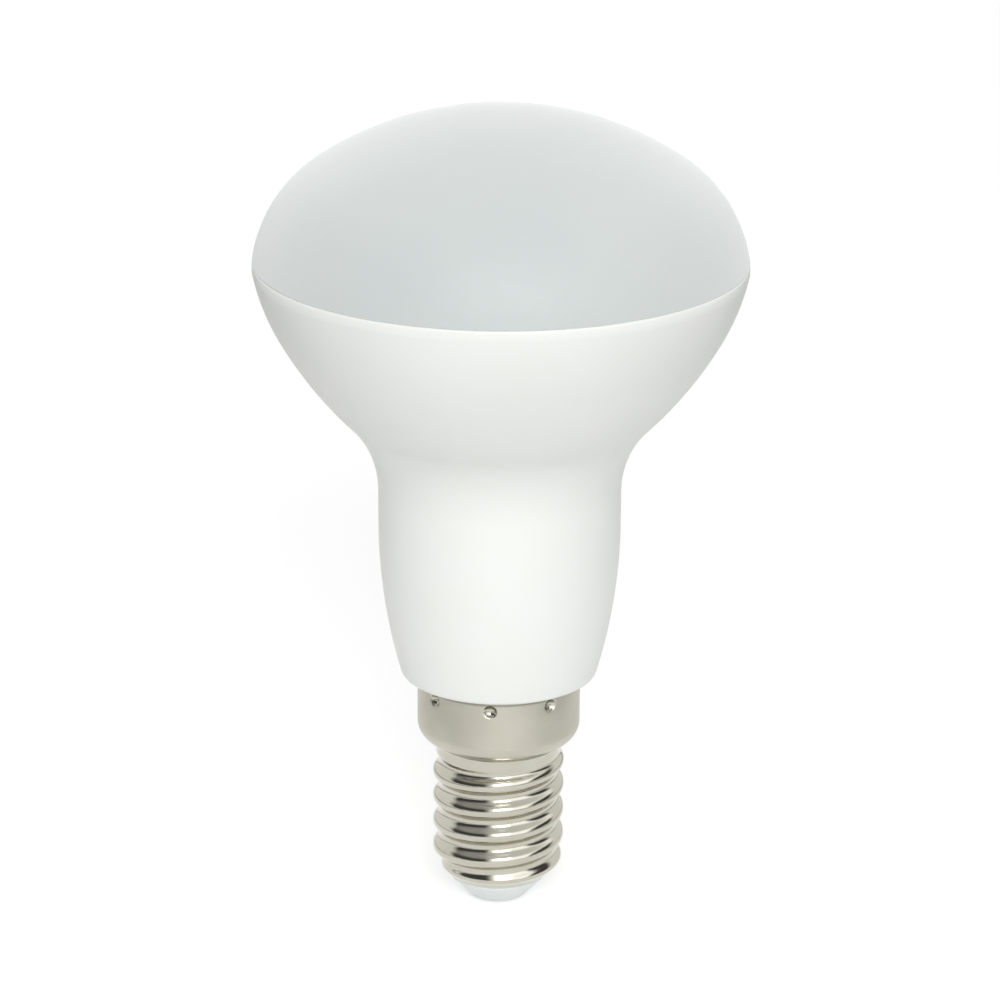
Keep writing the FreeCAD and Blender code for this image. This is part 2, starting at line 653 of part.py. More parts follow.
def punch_dents(collar):
    """Each dent is a spherical cup pressed into the collar, as thick as the sheet around it."""
    punch = worth("crimp_punch_radius")
    count = round(worth("crimp_count"))
    reach = worth("collar_radius + crimp_punch_radius - crimp_depth")
    outside = Part.makeCylinder(worth("collar_radius"), worth("overall_length"))
    bulges = []
    punches = []
    for index in range(count):
        angle = math.radians(worth("crimp_angle") - 90 + 360 * index / count)
        outwards = polar(Vector(0, 0, 0), 1, angle)
        centre = outwards * reach + Vector(0, 0, worth("crimp_height"))
        bulge = Part.makeSphere(punch + worth("shell_wall"), centre, outwards)
        bulges.append(bulge.common(outside))
        punches.append(Part.makeSphere(punch, centre, outwards))
    return collar.fuse(bulges).cut(punches)


def make_screw_shell():
    reach = worth("collar_round + collar_hollow")
    across = reach - worth(f"collar_radius - {SHELL_MID_RADIUS}")
    foot = worth("collar_round_height") - math.sqrt(reach**2 - across**2)
    outer = thread_tube(0.0, foot)
    inner = thread_tube(worth("shell_wall"), foot)
    lower_edge = Part.makeRuledSurface(ring_edge(outer, False), ring_edge(inner, False))
    disc, hole = (Part.Face(Part.Wire(ring_edge(skin, True))) for skin in (outer, inner))
    tube = Part.makeShell([outer, inner, lower_edge] + disc.cut(hole).Faces)
    tube.sewShape()
    tube = Part.makeSolid(tube)
    if tube.Volume < 0:
        tube.reverse()
    whole = tube.fuse([punch_dents(collar_solid(foot))], NEAR_ENOUGH).removeSplitter()
    screw_shell = doc.addObject("Part::Feature", "screw_shell")
    screw_shell.Shape = whole.Solids[0]


# Insulator and centre contact: turned about the axis, one inside the other.

SHELL_ROUND_LEAN = "asin((shell_round_height - shell_edge_height) / shell_round)"
SHELL_EDGE_BORE = (
    f"({SHELL_MID_RADIUS} - shell_round + (shell_round - shell_wall) * cos({SHELL_ROUND_LEAN}))"
)
INSULATOR_THROAT = f"({SHELL_EDGE_BORE} - fit_clearance)"
INSULATOR_TOP = "(shell_edge_height + insulator_flange_rise + insulator_flange_height)"


def make_insulator():
    body = new_body("insulator")
    bore = "contact_stem_radius + fit_clearance"
    nodes = [
        (bore, "contact_thickness"),
        ("insulator_tip_radius - insulator_bevel", "contact_thickness"),
        ("insulator_tip_radius", "contact_thickness + insulator_bevel"),
        (INSULATOR_THROAT, "shell_edge_height - insulator_drop"),
        (INSULATOR_THROAT, "shell_edge_height + shell_wall"),
        ("insulator_flange_radius", "shell_edge_height + insulator_flange_rise"),
        ("insulator_flange_radius", INSULATOR_TOP),
        (bore, INSULATOR_TOP),
    ]
    turned_polygon(body, "insulator_solid", nodes)


def make_centre_contact():
    body = new_body("centre_contact")
    stem_top = f"({INSULATOR_TOP} + contact_stem_above)"
    nodes = [
        ("0", "0"),
        ("contact_radius - contact_bevel", "0"),
        ("contact_radius", "contact_bevel"),
        ("contact_radius", "contact_thickness"),
        ("contact_stem_radius", "contact_thickness"),
        ("contact_stem_radius", stem_top),
        (HOLE_RADIUS, stem_top),
        (HOLE_RADIUS, "contact_floor"),
        ("0", "contact_floor"),
    ]
    turned_polygon(body, "rivet", nodes)


# Light source: a drawn cup on a ledge in the bowl, the board screwed to it, and its LEDs.

def make_heat_sink():
    body = new_body("heat_sink")
    nodes = [
        ("0", f"{SINK_TOP} - sink_wall"),
        (f"{SINK_RADIUS} - sink_wall", f"{SINK_TOP} - sink_wall"),
        (f"{SINK_RADIUS} - sink_wall", SINK_SEAT),
        (SINK_RADIUS, SINK_SEAT),
        (SINK_RADIUS, SINK_TOP),
        ("0", SINK_TOP),
    ]
    turned_polygon(body, "cup", nodes)
    round_circle(body, "cup_rounding", worth(SINK_RADIUS), worth(SINK_TOP), "sink_wall / 2")
    holes = new_sketch(body, "sink_holes", "XY_Plane", SINK_TOP)
    circle(holes, "0", "0", "sink_hole_radius")
    for side in ("-", ""):
        circle(holes, f"{side}{SCREW_OFFSET}", "0", "screw_radius + fit_clearance")
    drill(body, "sink_drilling", holes)


def make_led_board():
    body = new_body("led_board")
    outline = new_sketch(body, "led_board_outline", "XY_Plane", SINK_TOP)
    circle(outline, "0", "0", LED_BOARD_RADIUS)
    for side in ("-", ""):
        circle(outline, f"{side}pin_offset", "0", HOLE_RADIUS)
        circle(outline, f"{side}{SCREW_OFFSET}", "0", "screw_radius + fit_clearance")
    pad(body, "board", outline, "led_board_thickness")


def block(name, corner, size):
    """A box from its lowest corner and its size along X, Y and Z, all as formulas."""
    box = doc.addObject("Part::Box", name)
    for axis, formula in zip("xyz", corner):
        bind(box, f"Placement.Base.{axis}", formula)
    for side, formula in zip(("Length", "Width", "Height"), size):
        bind(box, side, formula)
    return box


def make_leds():
    count = round(worth("led_count"))
    for index in range(count):
        angle = f"(360 * ({index} + 0.5) / led_count)"
        corner = (
            f"{LED_INNER_RADIUS} * cos({angle}) + led_width / 2 * sin({angle})",
            f"{LED_INNER_RADIUS} * sin({angle}) - led_width / 2 * cos({angle})",
            LED_BOARD_TOP,
        )
        led = block(f"led_{index + 1:02d}", corner, ("led_length", "led_width", "led_height"))
        bind(led, "Placement.Rotation.Angle", angle)


def make_board_screws():
    """Two equal pan-head screws as one group of separate solids."""
    screws = []
    for index, side in enumerate(("-", ""), start=1):
        body = new_body(f"board_screw_{index}")
        nodes = [
            ("0", f"{LED_BOARD_TOP} - screw_length"),
            ("screw_radius", f"{LED_BOARD_TOP} - screw_length"),
            ("screw_radius", LED_BOARD_TOP),
            ("screw_head_radius", LED_BOARD_TOP),
            ("screw_head_radius", f"{LED_BOARD_TOP} + screw_head_height / 2"),
            ("screw_head_radius / 2", f"{LED_BOARD_TOP} + screw_head_height"),
            ("0", f"{LED_BOARD_TOP} + screw_head_height"),
        ]
        turned_polygon(body, f"screw_solid_{index}", nodes)
        bind(body, "Placement.Base.x", f"{side}{SCREW_OFFSET}")
        screws.append(body)
    group = doc.addObject("Part::Compound", "board_screws")
    group.Links = screws


# Driver: an upright board on the housing's floor, between rails, with its parts on both faces.

def cylinder(name, centre, radius, height):
    """An upright cylinder from the centre of its lower face, its radius and its height."""
    solid = doc.addObject("Part::Cylinder", name)
    for axis, formula in zip("xyz", centre):
        bind(solid, f"Placement.Base.{axis}", formula)
    bind(solid, "Radius", radius)
    bind(solid, "Height", height)
    return solid


def make_driver_board():
    corner = ("-driver_width / 2", "lead_radius", FLOOR)
    block("driver_board", corner, ("driver_width", "driver_thickness", DRIVER_HEIGHT))


def make_pins():
    bottom = f"({DRIVER_TOP} - pin_overlap)"
    length = f"{LED_BOARD_TOP} + pin_above - {bottom}"
    for name, side in (("negative_pin", "-"), ("positive_pin", "")):
        cylinder(name, (f"{side}pin_offset", "0", bottom), "lead_radius", length)


def make_packages():
    """Surface-mount packages on the board's front face, centred across it."""
    packages = {"bridge_rectifier": "bridge", "driver_ic": "chip", "freewheel_diode": "diode"}
    for name, size in packages.items():
        corner = (f"-{size}_width / 2", "lead_radius - package_depth", f"{size}_base")
        block(name, corner, (f"{size}_width", "package_depth", f"{size}_height"))


def make_resistors():
    count = round(worth("resistor_count"))
    for index in range(count):
        corner = (
            "resistor_offset",
            "lead_radius - resistor_depth",
            f"resistor_base + {index} * resistor_step",
        )
        size = ("resistor_width", "resistor_depth", "resistor_height")
        block(f"resistor_{index + 1}", corner, size)


def make_choke():
    top = "(choke_base + choke_height)"
    core = new_body("choke_core")
    nodes = [
        ("0", "choke_base"),
        ("choke_radius", "choke_base"),
        ("choke_radius", "choke_base + choke_flange"),
        ("choke_waist_radius", "choke_base + choke_flange"),
        ("choke_waist_radius", f"{top} - choke_flange"),
        ("choke_radius", f"{top} - choke_flange"),
        ("choke_radius", top),
        ("0", top),
    ]
    turned_polygon(core, "drum", nodes)
    winding = new_body("choke_winding")
    nodes = [
        ("choke_waist_radius", "choke_base + choke_flange"),
        ("choke_winding_radius", "choke_base + choke_flange"),
        ("choke_winding_radius", f"{top} - choke_flange"),
        ("choke_waist_radius", f"{top} - choke_flange"),
    ]
    turned_polygon(winding, "copper", nodes)
    for body in (core, winding):
        bind(body, "Placement.Base.y", f"{DRIVER_BACK} + choke_radius")


def make_input_capacitor():
    body = new_body("input_capacitor")
    top = "(can_base + can_height)"
    groove = "(can_base + can_groove_height)"
    nodes = [
        ("0", "can_base"),
        ("can_radius - can_groove", "can_base"),
        ("can_radius", "can_base + can_groove"),
        ("can_radius", groove),
        ("can_radius - can_groove", f"{groove} + can_groove"),
        ("can_radius", f"{groove} + 2 * can_groove"),
        ("can_radius", f"{top} - can_groove"),
        ("can_radius - can_groove", top),
        ("0", top),
    ]
    turned_polygon(body, "can", nodes)
    bind(body, "Placement.Base.y", f"{DRIVER_BACK} + can_radius")


def make_film_capacitor():
    corner = ("film_offset", DRIVER_BACK, "film_base")
    block("film_capacitor", corner, ("film_length", "film_depth", "film_height"))


def make_fusible_resistor():
    body = new_body("fusible_resistor")
    top = "(fusible_base + fusible_length)"
    nodes = [
        ("0", "contact_floor + fit_clearance"),
        ("lead_radius", "contact_floor + fit_clearance"),
        ("lead_radius", "fusible_base"),
        ("fusible_radius - fusible_bevel", "fusible_base"),
        ("fusible_radius", "fusible_base + fusible_bevel"),
        ("fusible_radius", f"{top} - fusible_bevel"),
        ("fusible_radius - fusible_bevel", top),
        ("lead_radius", top),
        ("lead_radius", "lead_top"),
        ("0", "lead_top"),
    ]
    turned_polygon(body, "body_and_leads", nodes)


def make_shell_lead():
    """A wire down inside the spigot, then out under it to the collar."""
    body = new_body("shell_lead")
    route = new_sketch(body, "shell_lead_route")
    level = f"({SPIGOT_BOTTOM} - shell_lead_drop - lead_radius)"
    reach = f"({COLLAR_BORE} - fit_clearance)"
    bend_radius = worth("shell_lead_bend")
    bend = Vector(worth("shell_lead_offset + shell_lead_bend"), worth(f"{level} + shell_lead_bend"), 0)
    upper = Vector(worth("shell_lead_offset"), worth("lead_top"), 0)
    outer = Vector(worth(reach), worth(level), 0)
    turn_arc = arc(route, bend, bend_radius, math.pi, 1.5 * math.pi)
    down = line(route, upper, route.getPoint(turn_arc, 1))
    out = line(route, route.getPoint(turn_arc, 2), outer)
    join(route, "Tangent", down, 2, turn_arc, 1)
    join(route, "Tangent", turn_arc, 2, out, 1)
    route.addConstraint(Sketcher.Constraint("Vertical", down))
    route.addConstraint(Sketcher.Constraint("Horizontal", out))
    hold(route, "Radius", turn_arc, formula="shell_lead_bend")
    place(route, down, 1, "shell_lead_offset", "lead_top")
    place(route, out, 2, reach, level)
    section = new_sketch(body, "shell_lead_section", "XY_Plane", "lead_top")
    circle(section, "shell_lead_offset", "0", "lead_radius")
    wire = body.newObject("PartDesign::AdditivePipe", "wire")
    wire.Profile = section
    wire.Spine = route


make_diffuser()
make_housing()
make_screw_shell()
make_insulator()
make_centre_contact()
make_heat_sink()
make_led_board()
make_leds()
make_board_screws()
make_driver_board()
make_pins()
make_packages()
make_resistors()
make_choke()
make_input_capacitor()
make_film_capacitor()
make_fusible_resistor()
make_shell_lead()
doc.recompute()

NODES = [
    "diffuser",
    "housing",
    "screw_shell",
    "insulator",
    "centre_contact",
    "heat_sink",
    "led_board",
    *(f"led_{index + 1:02d}" for index in range(round(worth("led_count")))),
    "board_screws",
    "driver_board",
    "positive_pin",
    "negative_pin",
    "bridge_rectifier",
    "driver_ic",
    "freewheel_diode",
    *(f"resistor_{index + 1}" for index in range(round(worth("resistor_count")))),
    "choke_core",
    "choke_winding",
    "input_capacitor",
    "film_capacitor",
    "fusible_resistor",
    "shell_lead",
]

for item in doc.Objects:
    if "Invalid" in item.State or "Error" in item.State:
        raise RuntimeError(f"{item.Label} failed: {item.State}")

os.makedirs("parts", exist_ok=True)
for name in NODES:
    shape = doc.getObject(name).Shape
    if shape.isNull() or not shape.isValid():
        raise RuntimeError(f"{name} has no valid shape")
for name in NODES:
    doc.getObject(name).Shape.exportStep(f"parts/{name}.step")
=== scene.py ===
import json
import math

import bpy
import numpy as np
from mathutils import Matrix, Vector

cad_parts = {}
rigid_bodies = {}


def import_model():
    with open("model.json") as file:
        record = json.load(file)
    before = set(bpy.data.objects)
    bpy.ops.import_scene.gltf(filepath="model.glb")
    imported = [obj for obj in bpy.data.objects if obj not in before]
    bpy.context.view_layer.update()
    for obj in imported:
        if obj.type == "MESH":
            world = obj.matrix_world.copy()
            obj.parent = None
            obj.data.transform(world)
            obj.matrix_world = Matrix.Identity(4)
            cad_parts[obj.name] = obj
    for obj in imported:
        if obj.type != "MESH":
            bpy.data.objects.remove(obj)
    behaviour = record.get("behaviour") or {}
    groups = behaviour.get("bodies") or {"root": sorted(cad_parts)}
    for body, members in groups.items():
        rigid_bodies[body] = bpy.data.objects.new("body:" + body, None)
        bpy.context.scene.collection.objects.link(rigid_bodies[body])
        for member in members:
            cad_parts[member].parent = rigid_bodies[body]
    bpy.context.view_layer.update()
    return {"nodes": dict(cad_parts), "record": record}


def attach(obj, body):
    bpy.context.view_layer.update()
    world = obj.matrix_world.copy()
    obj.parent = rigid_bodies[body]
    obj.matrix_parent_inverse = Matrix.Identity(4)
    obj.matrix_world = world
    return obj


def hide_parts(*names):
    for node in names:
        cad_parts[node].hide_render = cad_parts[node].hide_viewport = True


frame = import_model()

MM = 0.001

# Sizes of the lamp in millimetres and degrees, as in the part's source. Z = 0 is the bottom of the
# centre contact.
RIM_RADIUS = 25.0
OVERALL_LENGTH = 85.0
DOME_HEIGHT = 15.2
SHOULDER_RADIUS = 13.8
SHOULDER_LEAN = 8.5
DIFFUSER_WALL = 1.2
SKIRT_DEPTH = 2.8
SKIRT_WALL = 1.2
BEAD_DEPTH = 0.3
BEAD_HEIGHT = 1.0
LIP_HEIGHT = 0.9
RIM_ROUND = 0.25
RIM_ARC_RADIUS = 22.6
RIM_LEAN = 11.5
BOWL_ARC_RADIUS = 41.5
BOWL_LEAN = 29.2
THROAT_ARC_RADIUS = 11.2
NECK_RADIUS = 12.45
NECK_TAPER_SHARE = 0.83
FOOT_RADIUS = 10.12
HOUSING_BOTTOM = 25.5
BOTTOM_ROUND = 0.6
HOUSING_WALL = 1.6
FIT_CLEARANCE = 0.05
SPIGOT_LENGTH = 4.7
SPIGOT_WALL = 1.4
SPIGOT_GROOVE = 0.6
SPIGOT_GROOVE_HEIGHT = 2.4
SINK_INSET = 5.6
SINK_DROP = 4.1
SINK_DEPTH = 6.2
DRIVER_WIDTH = 17.4
LEAD_RADIUS = 0.35
DRIVER_THICKNESS = 1.0
RAIL_HEIGHT = 6.4
RAIL_WIDTH = 0.9
RAIL_GRIP = 0.9
RAIL_ROOT = 1.0

COLLAR_RADIUS = 8.47
COLLAR_GAP = 0.1
COLLAR_ROUND_HEIGHT = 20.0
COLLAR_ROUND = 1.9
COLLAR_HOLLOW = 1.0
SHELL_WALL = 0.3
THREAD_MAJOR_RADIUS = 6.9
THREAD_MINOR_RADIUS = 6.1
THREAD_PITCH = 2.822
THREAD_CREST_HEIGHT = 7.16
THREAD_TOP = 17.1
THREAD_BOTTOM = 3.0
THREAD_RUNOUT = 1.6
SHELL_ROUND_HEIGHT = 5.7
SHELL_ROUND = 4.0
SHELL_EDGE_HEIGHT = 2.9
CRIMP_COUNT = 8
CRIMP_HEIGHT = 24.1
CRIMP_ANGLE = -6.0
CRIMP_PUNCH_RADIUS = 0.75
CRIMP_DEPTH = 0.45
CONTACT_RADIUS = 2.3
CONTACT_THICKNESS = 0.35
CONTACT_BEVEL = 0.12
CONTACT_STEM_RADIUS = 0.95
CONTACT_STEM_ABOVE = 0.4
CONTACT_FLOOR = 1.2
INSULATOR_TIP_RADIUS = 3.2
INSULATOR_BEVEL = 0.2
INSULATOR_DROP = 0.35
INSULATOR_FLANGE_RISE = 1.1
INSULATOR_FLANGE_RADIUS = 5.35
INSULATOR_FLANGE_HEIGHT = 1.2

SEAM_HEIGHT = OVERALL_LENGTH - DOME_HEIGHT
SINK_RADIUS = RIM_RADIUS - SINK_INSET
SINK_SEAT_HEIGHT = SEAM_HEIGHT - SINK_DROP - SINK_DEPTH
SHELL_MID_RADIUS = (THREAD_MAJOR_RADIUS + THREAD_MINOR_RADIUS) / 2
COLLAR_TOP = HOUSING_BOTTOM - COLLAR_GAP
SPIGOT_RADIUS = COLLAR_RADIUS - SHELL_WALL - FIT_CLEARANCE
SPIGOT_BORE = SPIGOT_RADIUS - SPIGOT_WALL
MOUTH_RADIUS = RIM_RADIUS - HOUSING_WALL
FLOOR_HEIGHT = HOUSING_BOTTOM + HOUSING_WALL
BEAD_MIDDLE = SEAM_HEIGHT - SKIRT_DEPTH / 2
INSULATOR_TOP = SHELL_EDGE_HEIGHT + INSULATOR_FLANGE_RISE + INSULATOR_FLANGE_HEIGHT

# Small rounds of edges and the softness of the dents' rims, in millimetres.
DOME_EDGE_ROUND = 0.15
SKIRT_ROUND = 0.1
INSULATOR_ROUND = 0.12
CONTACT_ROUND = 0.06
DENT_SOFTNESS = 0.12

# Fineness of the meshes. Steps are in millimetres, and columns go once round the axis.
SHARP_ANGLE = 40
ARC_STEP = 0.3
FEWEST_ARC_PARTS = 4
SHOULDER_STEP = 0.45
CROWN_STEP = 0.6
INNER_CROWN_STEP = 1.2
INNER_SHOULDER_STEP = 1.0
CORNER_PARTS = 5
SKIRT_CORNER_PARTS = 3
CORNER_SHARE = 0.45
LATHE_COLUMNS = 256
CONTACT_COLUMNS = 128
SHELL_COLUMNS = 288
SHELL_STEP = 0.14
SHELL_INSIDE_STEP = 0.4
COLLAR_STEP = 1.0
# The shell's columns draw together at the dents, and its rows do so a little past their edges.
COLUMN_GATHER = 0.7
DENT_MARGIN = 1.1


# Outlines. A point is (distance from the axis, height), and an outline is a list of points.

def polar(centre, radius, degrees):
    turn = math.radians(degrees)
    return centre[0] + radius * math.cos(turn), centre[1] + radius * math.sin(turn)


def arc(centre, radius, start, end, step=ARC_STEP):
    """Points on an arc from one angle to another, about a step apart."""
    count = math.ceil(abs(math.radians(end - start)) * radius / step)
    count = max(FEWEST_ARC_PARTS, count)
    return [polar(centre, radius, start + (end - start) * i / count) for i in range(count + 1)]


def rounded(points, radius, closed, parts=CORNER_PARTS):
    """A copy of an outline with its corners rounded, as far as its sides allow."""
    result = []
    count = len(points)
    for i, point in enumerate(points):
        corner = Vector(point)
        before = Vector(points[i - 1]) - corner
        after = Vector(points[(i + 1) % count]) - corner
        at_end = not closed and i in (0, count - 1)
        if at_end or before.length == 0 or after.length == 0:
            result.append(point)
            continue
        half = before.angle(after) / 2
        room = min(before.length, after.length) * CORNER_SHARE
        reach = min(radius / math.tan(half), room)
        start = corner + before.normalized() * reach
        end = corner + after.normalized() * reach
        for j in range(parts + 1):
            share = j / parts
            bend = start.lerp(corner, share).lerp(corner.lerp(end, share), share)
            result.append(tuple(bend))
    return result


# Meshes. A ring mesh carries one outline per column round the axis.

def add_piece(name, vertices, faces):
    mesh = bpy.data.meshes.new(name)
    mesh.from_pydata(vertices, [], faces)
    mesh.polygons.foreach_set("use_smooth", [True] * len(mesh.polygons))
    mesh.set_sharp_from_angle(angle=math.radians(SHARP_ANGLE))
    piece = bpy.data.objects.new(name, mesh)
    bpy.context.scene.collection.objects.link(piece)
    return piece


def ring_faces(columns, rows, closed):
    """Quads of a ring mesh whose vertices are numbered column by column."""
    last = rows if closed else rows - 1
    faces = []
    for column in range(columns):
        here = column * rows
        there = (column + 1) % columns * rows
        for row in range(last):
            above = (row + 1) % rows
            faces.append((here + row, there + row, there + above, here + above))
    return faces


def ring_vertices(radii, heights, angles):
    """Vertices in metres from radii and heights (columns by rows) and one angle per column."""
    across = radii * np.cos(angles)[:, None]
    along = radii * np.sin(angles)[:, None]
    grid = np.stack([across, along, heights], axis=2) * MM
    return grid.reshape(-1, 3).tolist()


def lathe(name, outline, closed, columns=LATHE_COLUMNS):
    """Turns an outline that runs anticlockwise in section.

    An open outline starts and ends on the axis.
    """
    angles = np.linspace(0, 2 * math.pi, columns, endpoint=False)
    turned = outline if closed else outline[1:-1]
    section = np.array(turned)
    radii = np.tile(section[:, 0], (columns, 1))
    heights = np.tile(section[:, 1], (columns, 1))
    rows = len(turned)
    vertices = ring_vertices(radii, heights, angles)
    faces = ring_faces(columns, rows, closed)
    if not closed:
        first, last = len(vertices), len(vertices) + 1
        vertices += [(0, 0, outline[0][1] * MM), (0, 0, outline[-1][1] * MM)]
        for column in range(columns):
            here = column * rows
            there = (column + 1) % columns * rows
            faces.append((first, there, here))
            faces.append((last, here + rows - 1, there + rows - 1))
    return add_piece(name, vertices, faces)


def dress(piece, node):
    """Puts a piece on the lamp in the place of its CAD node."""
    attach(piece, "root")
    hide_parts(node)
    return piece


# Diffuser: dome of two arcs, ledge on the housing's edge, snap skirt with a bead.

def diffuser_outline():
    shoulder = polar((RIM_RADIUS, SEAM_HEIGHT), SHOULDER_RADIUS, 180 + SHOULDER_LEAN)
    rise = OVERALL_LENGTH - shoulder[1]
    crown_radius = shoulder[0] ** 2 + rise**2 - SHOULDER_RADIUS**2
    crown_radius /= 2 * (rise - SHOULDER_RADIUS)
    crown = (0, OVERALL_LENGTH - crown_radius)
    meeting = math.degrees(math.atan2(shoulder[1] - crown[1], shoulder[0]))
    inner_radius = SHOULDER_RADIUS - DIFFUSER_WALL
    inner_foot = SEAM_HEIGHT + DIFFUSER_WALL - shoulder[1]
    inner_lean = math.degrees(math.asin(inner_foot / inner_radius))
    edge_lean = SHOULDER_LEAN + math.degrees(DOME_EDGE_ROUND / SHOULDER_RADIUS)
    outer = arc(shoulder, SHOULDER_RADIUS, edge_lean, meeting, SHOULDER_STEP)
    outer += arc(crown, crown_radius, meeting, 90, CROWN_STEP)[1:]
    inner = arc(crown, crown_radius - DIFFUSER_WALL, 90, meeting, INNER_CROWN_STEP)
    inner += arc(shoulder, inner_radius, meeting, inner_lean, INNER_SHOULDER_STEP)[1:]
    skirt_radius = MOUTH_RADIUS - FIT_CLEARANCE
    skirt_bore = skirt_radius - SKIRT_WALL
    bead_radius = skirt_radius + BEAD_DEPTH
    bead_top = BEAD_MIDDLE + BEAD_HEIGHT / 2
    bead_bottom = BEAD_MIDDLE - BEAD_HEIGHT / 2
    skirt = [
        (skirt_bore, SEAM_HEIGHT + DIFFUSER_WALL),
        (skirt_bore, SEAM_HEIGHT - SKIRT_DEPTH),
        (skirt_radius, SEAM_HEIGHT - SKIRT_DEPTH),
        (skirt_radius, bead_bottom),
        (bead_radius, bead_bottom),
        (bead_radius, bead_top),
        (skirt_radius, bead_top),
        (skirt_radius, SEAM_HEIGHT),
        (RIM_RADIUS - DOME_EDGE_ROUND, SEAM_HEIGHT),
    ]
    # The outline starts on the axis inside the dome and ends on the axis at its top.
    return inner + rounded(skirt, SKIRT_ROUND, False, SKIRT_CORNER_PARTS) + outer


def make_diffuser():
    diffuser = lathe("diffuser_dome", diffuser_outline(), False)
    return dress(diffuser, "diffuser")


# Housing: bowl of two arcs, throat, upright neck that one long arc tapers, spigot for the cap.

def bowl_and_neck(skin):
    """The outline from the rim down to the foot, set in by a skin."""
    lip = (RIM_RADIUS, SEAM_HEIGHT - LIP_HEIGHT)
    rim = polar(lip, RIM_ARC_RADIUS, 180 - RIM_LEAN)
    bowl = polar(rim, BOWL_ARC_RADIUS - RIM_ARC_RADIUS, 180 - BOWL_LEAN)
    reach = BOWL_ARC_RADIUS + THROAT_ARC_RADIUS
    throat_lean = math.degrees(math.acos((NECK_RADIUS + THROAT_ARC_RADIUS - bowl[0]) / reach))
    throat = polar(bowl, reach, -throat_lean)
    taper_height = (throat[1] - HOUSING_BOTTOM) * NECK_TAPER_SHARE
    taper_depth = NECK_RADIUS - FOOT_RADIUS
    taper_radius = (taper_height**2 + taper_depth**2) / (2 * taper_depth)
    taper = (NECK_RADIUS - taper_radius, HOUSING_BOTTOM + taper_height)
    foot_lean = math.degrees(math.asin((taper_height - skin) / (taper_radius - skin)))
    points = arc(rim, RIM_ARC_RADIUS - skin, -RIM_LEAN, -BOWL_LEAN)
    points += arc(bowl, BOWL_ARC_RADIUS - skin, -BOWL_LEAN, -throat_lean)[1:]
    points += arc(throat, THROAT_ARC_RADIUS + skin, 180 - throat_lean, 180)[1:]
    points += arc(taper, taper_radius - skin, 0, -foot_lean)
    return points


def housing_outline():
    outside = bowl_and_neck(0)
    foot = outside[-1]
    outside = [point for point in outside if point[1] > HOUSING_BOTTOM + 3 * BOTTOM_ROUND]
    corner = [outside[-1], foot, (SPIGOT_RADIUS, HOUSING_BOTTOM)]
    foot_corner = rounded(corner, BOTTOM_ROUND, False)
    groove_radius = SPIGOT_RADIUS - SPIGOT_GROOVE
    groove_top = CRIMP_HEIGHT + SPIGOT_GROOVE_HEIGHT / 2
    groove_bottom = CRIMP_HEIGHT - SPIGOT_GROOVE_HEIGHT / 2
    spigot_bottom = HOUSING_BOTTOM - SPIGOT_LENGTH
    spigot = [
        (SPIGOT_RADIUS, HOUSING_BOTTOM),
        (SPIGOT_RADIUS, groove_top),
        (groove_radius, groove_top),
        (groove_radius, groove_bottom),
        (SPIGOT_RADIUS, groove_bottom),
        (SPIGOT_RADIUS, spigot_bottom),
        (SPIGOT_BORE, spigot_bottom),
    ]
    inside = bowl_and_neck(HOUSING_WALL)[::-1]
    seat_radius = SINK_RADIUS + FIT_CLEARANCE
    skirt_floor = SEAM_HEIGHT - SKIRT_DEPTH - FIT_CLEARANCE
    below_seat = [point for point in inside if point[1] < SINK_SEAT_HEIGHT]
    above_seat = [point for point in inside if SINK_SEAT_HEIGHT < point[1] < skirt_floor]
    above_seat = [point for point in above_seat if point[0] > seat_radius]
    bead_radius = MOUTH_RADIUS + BEAD_DEPTH
    bead_top = BEAD_MIDDLE + BEAD_HEIGHT / 2 + FIT_CLEARANCE
    bead_bottom = BEAD_MIDDLE - BEAD_HEIGHT / 2 - FIT_CLEARANCE
    mouth = [
        (MOUTH_RADIUS, skirt_floor),
        (MOUTH_RADIUS, bead_bottom),
        (bead_radius, bead_bottom),
        (bead_radius, bead_top),
        (MOUTH_RADIUS, bead_top),
        (MOUTH_RADIUS, SEAM_HEIGHT),
    ]
    lip = rounded([mouth[-1], (RIM_RADIUS, SEAM_HEIGHT), outside[0]], RIM_ROUND, False)
    outline = outside[1:-1] + foot_corner + spigot[1:]
    outline += [(SPIGOT_BORE, FLOOR_HEIGHT)] + below_seat
    outline += [(below_seat[-1][0], SINK_SEAT_HEIGHT), (seat_radius, SINK_SEAT_HEIGHT)]
    outline += above_seat
    outline += [(above_seat[-1][0], skirt_floor)] + mouth[:-1] + lip
    return outline[::-1]


def rail_boxes():
    """Corners of the four rails that hold the driver board, as (lowest, highest) in millimetres."""
    back = LEAD_RADIUS + DRIVER_THICKNESS + FIT_CLEARANCE
    front = LEAD_RADIUS - FIT_CLEARANCE
    inner = DRIVER_WIDTH / 2 - RAIL_GRIP
    outer = DRIVER_WIDTH / 2 + RAIL_ROOT
    bottom, top = FLOOR_HEIGHT - HOUSING_WALL / 2, FLOOR_HEIGHT + RAIL_HEIGHT
    for left, right in ((-outer, -inner), (inner, outer)):
        for near, far in ((front - RAIL_WIDTH, front), (back, back + RAIL_WIDTH)):
            yield (left, near, bottom), (right, far, top)


def make_housing():
    housing = lathe("housing_moulding", housing_outline(), True)
    dress(housing, "housing")
    for index, (low, high) in enumerate(rail_boxes(), start=1):
        corners = [(x * MM, y * MM, z * MM) for x in (low[0], high[0]) for y in (low[1], high[1])
                   for z in (low[2], high[2])]
        faces = [(0, 1, 3, 2), (4, 6, 7, 5), (0, 4, 5, 1), (2, 3, 7, 6), (0, 2, 6, 4), (1, 5, 7, 3)]
        rail = add_piece(f"board_rail_{index}", corners, faces)
        rail.parent = housing
    return housing


# Screw shell: one section per column, offset from its base line by the thread and the dents.

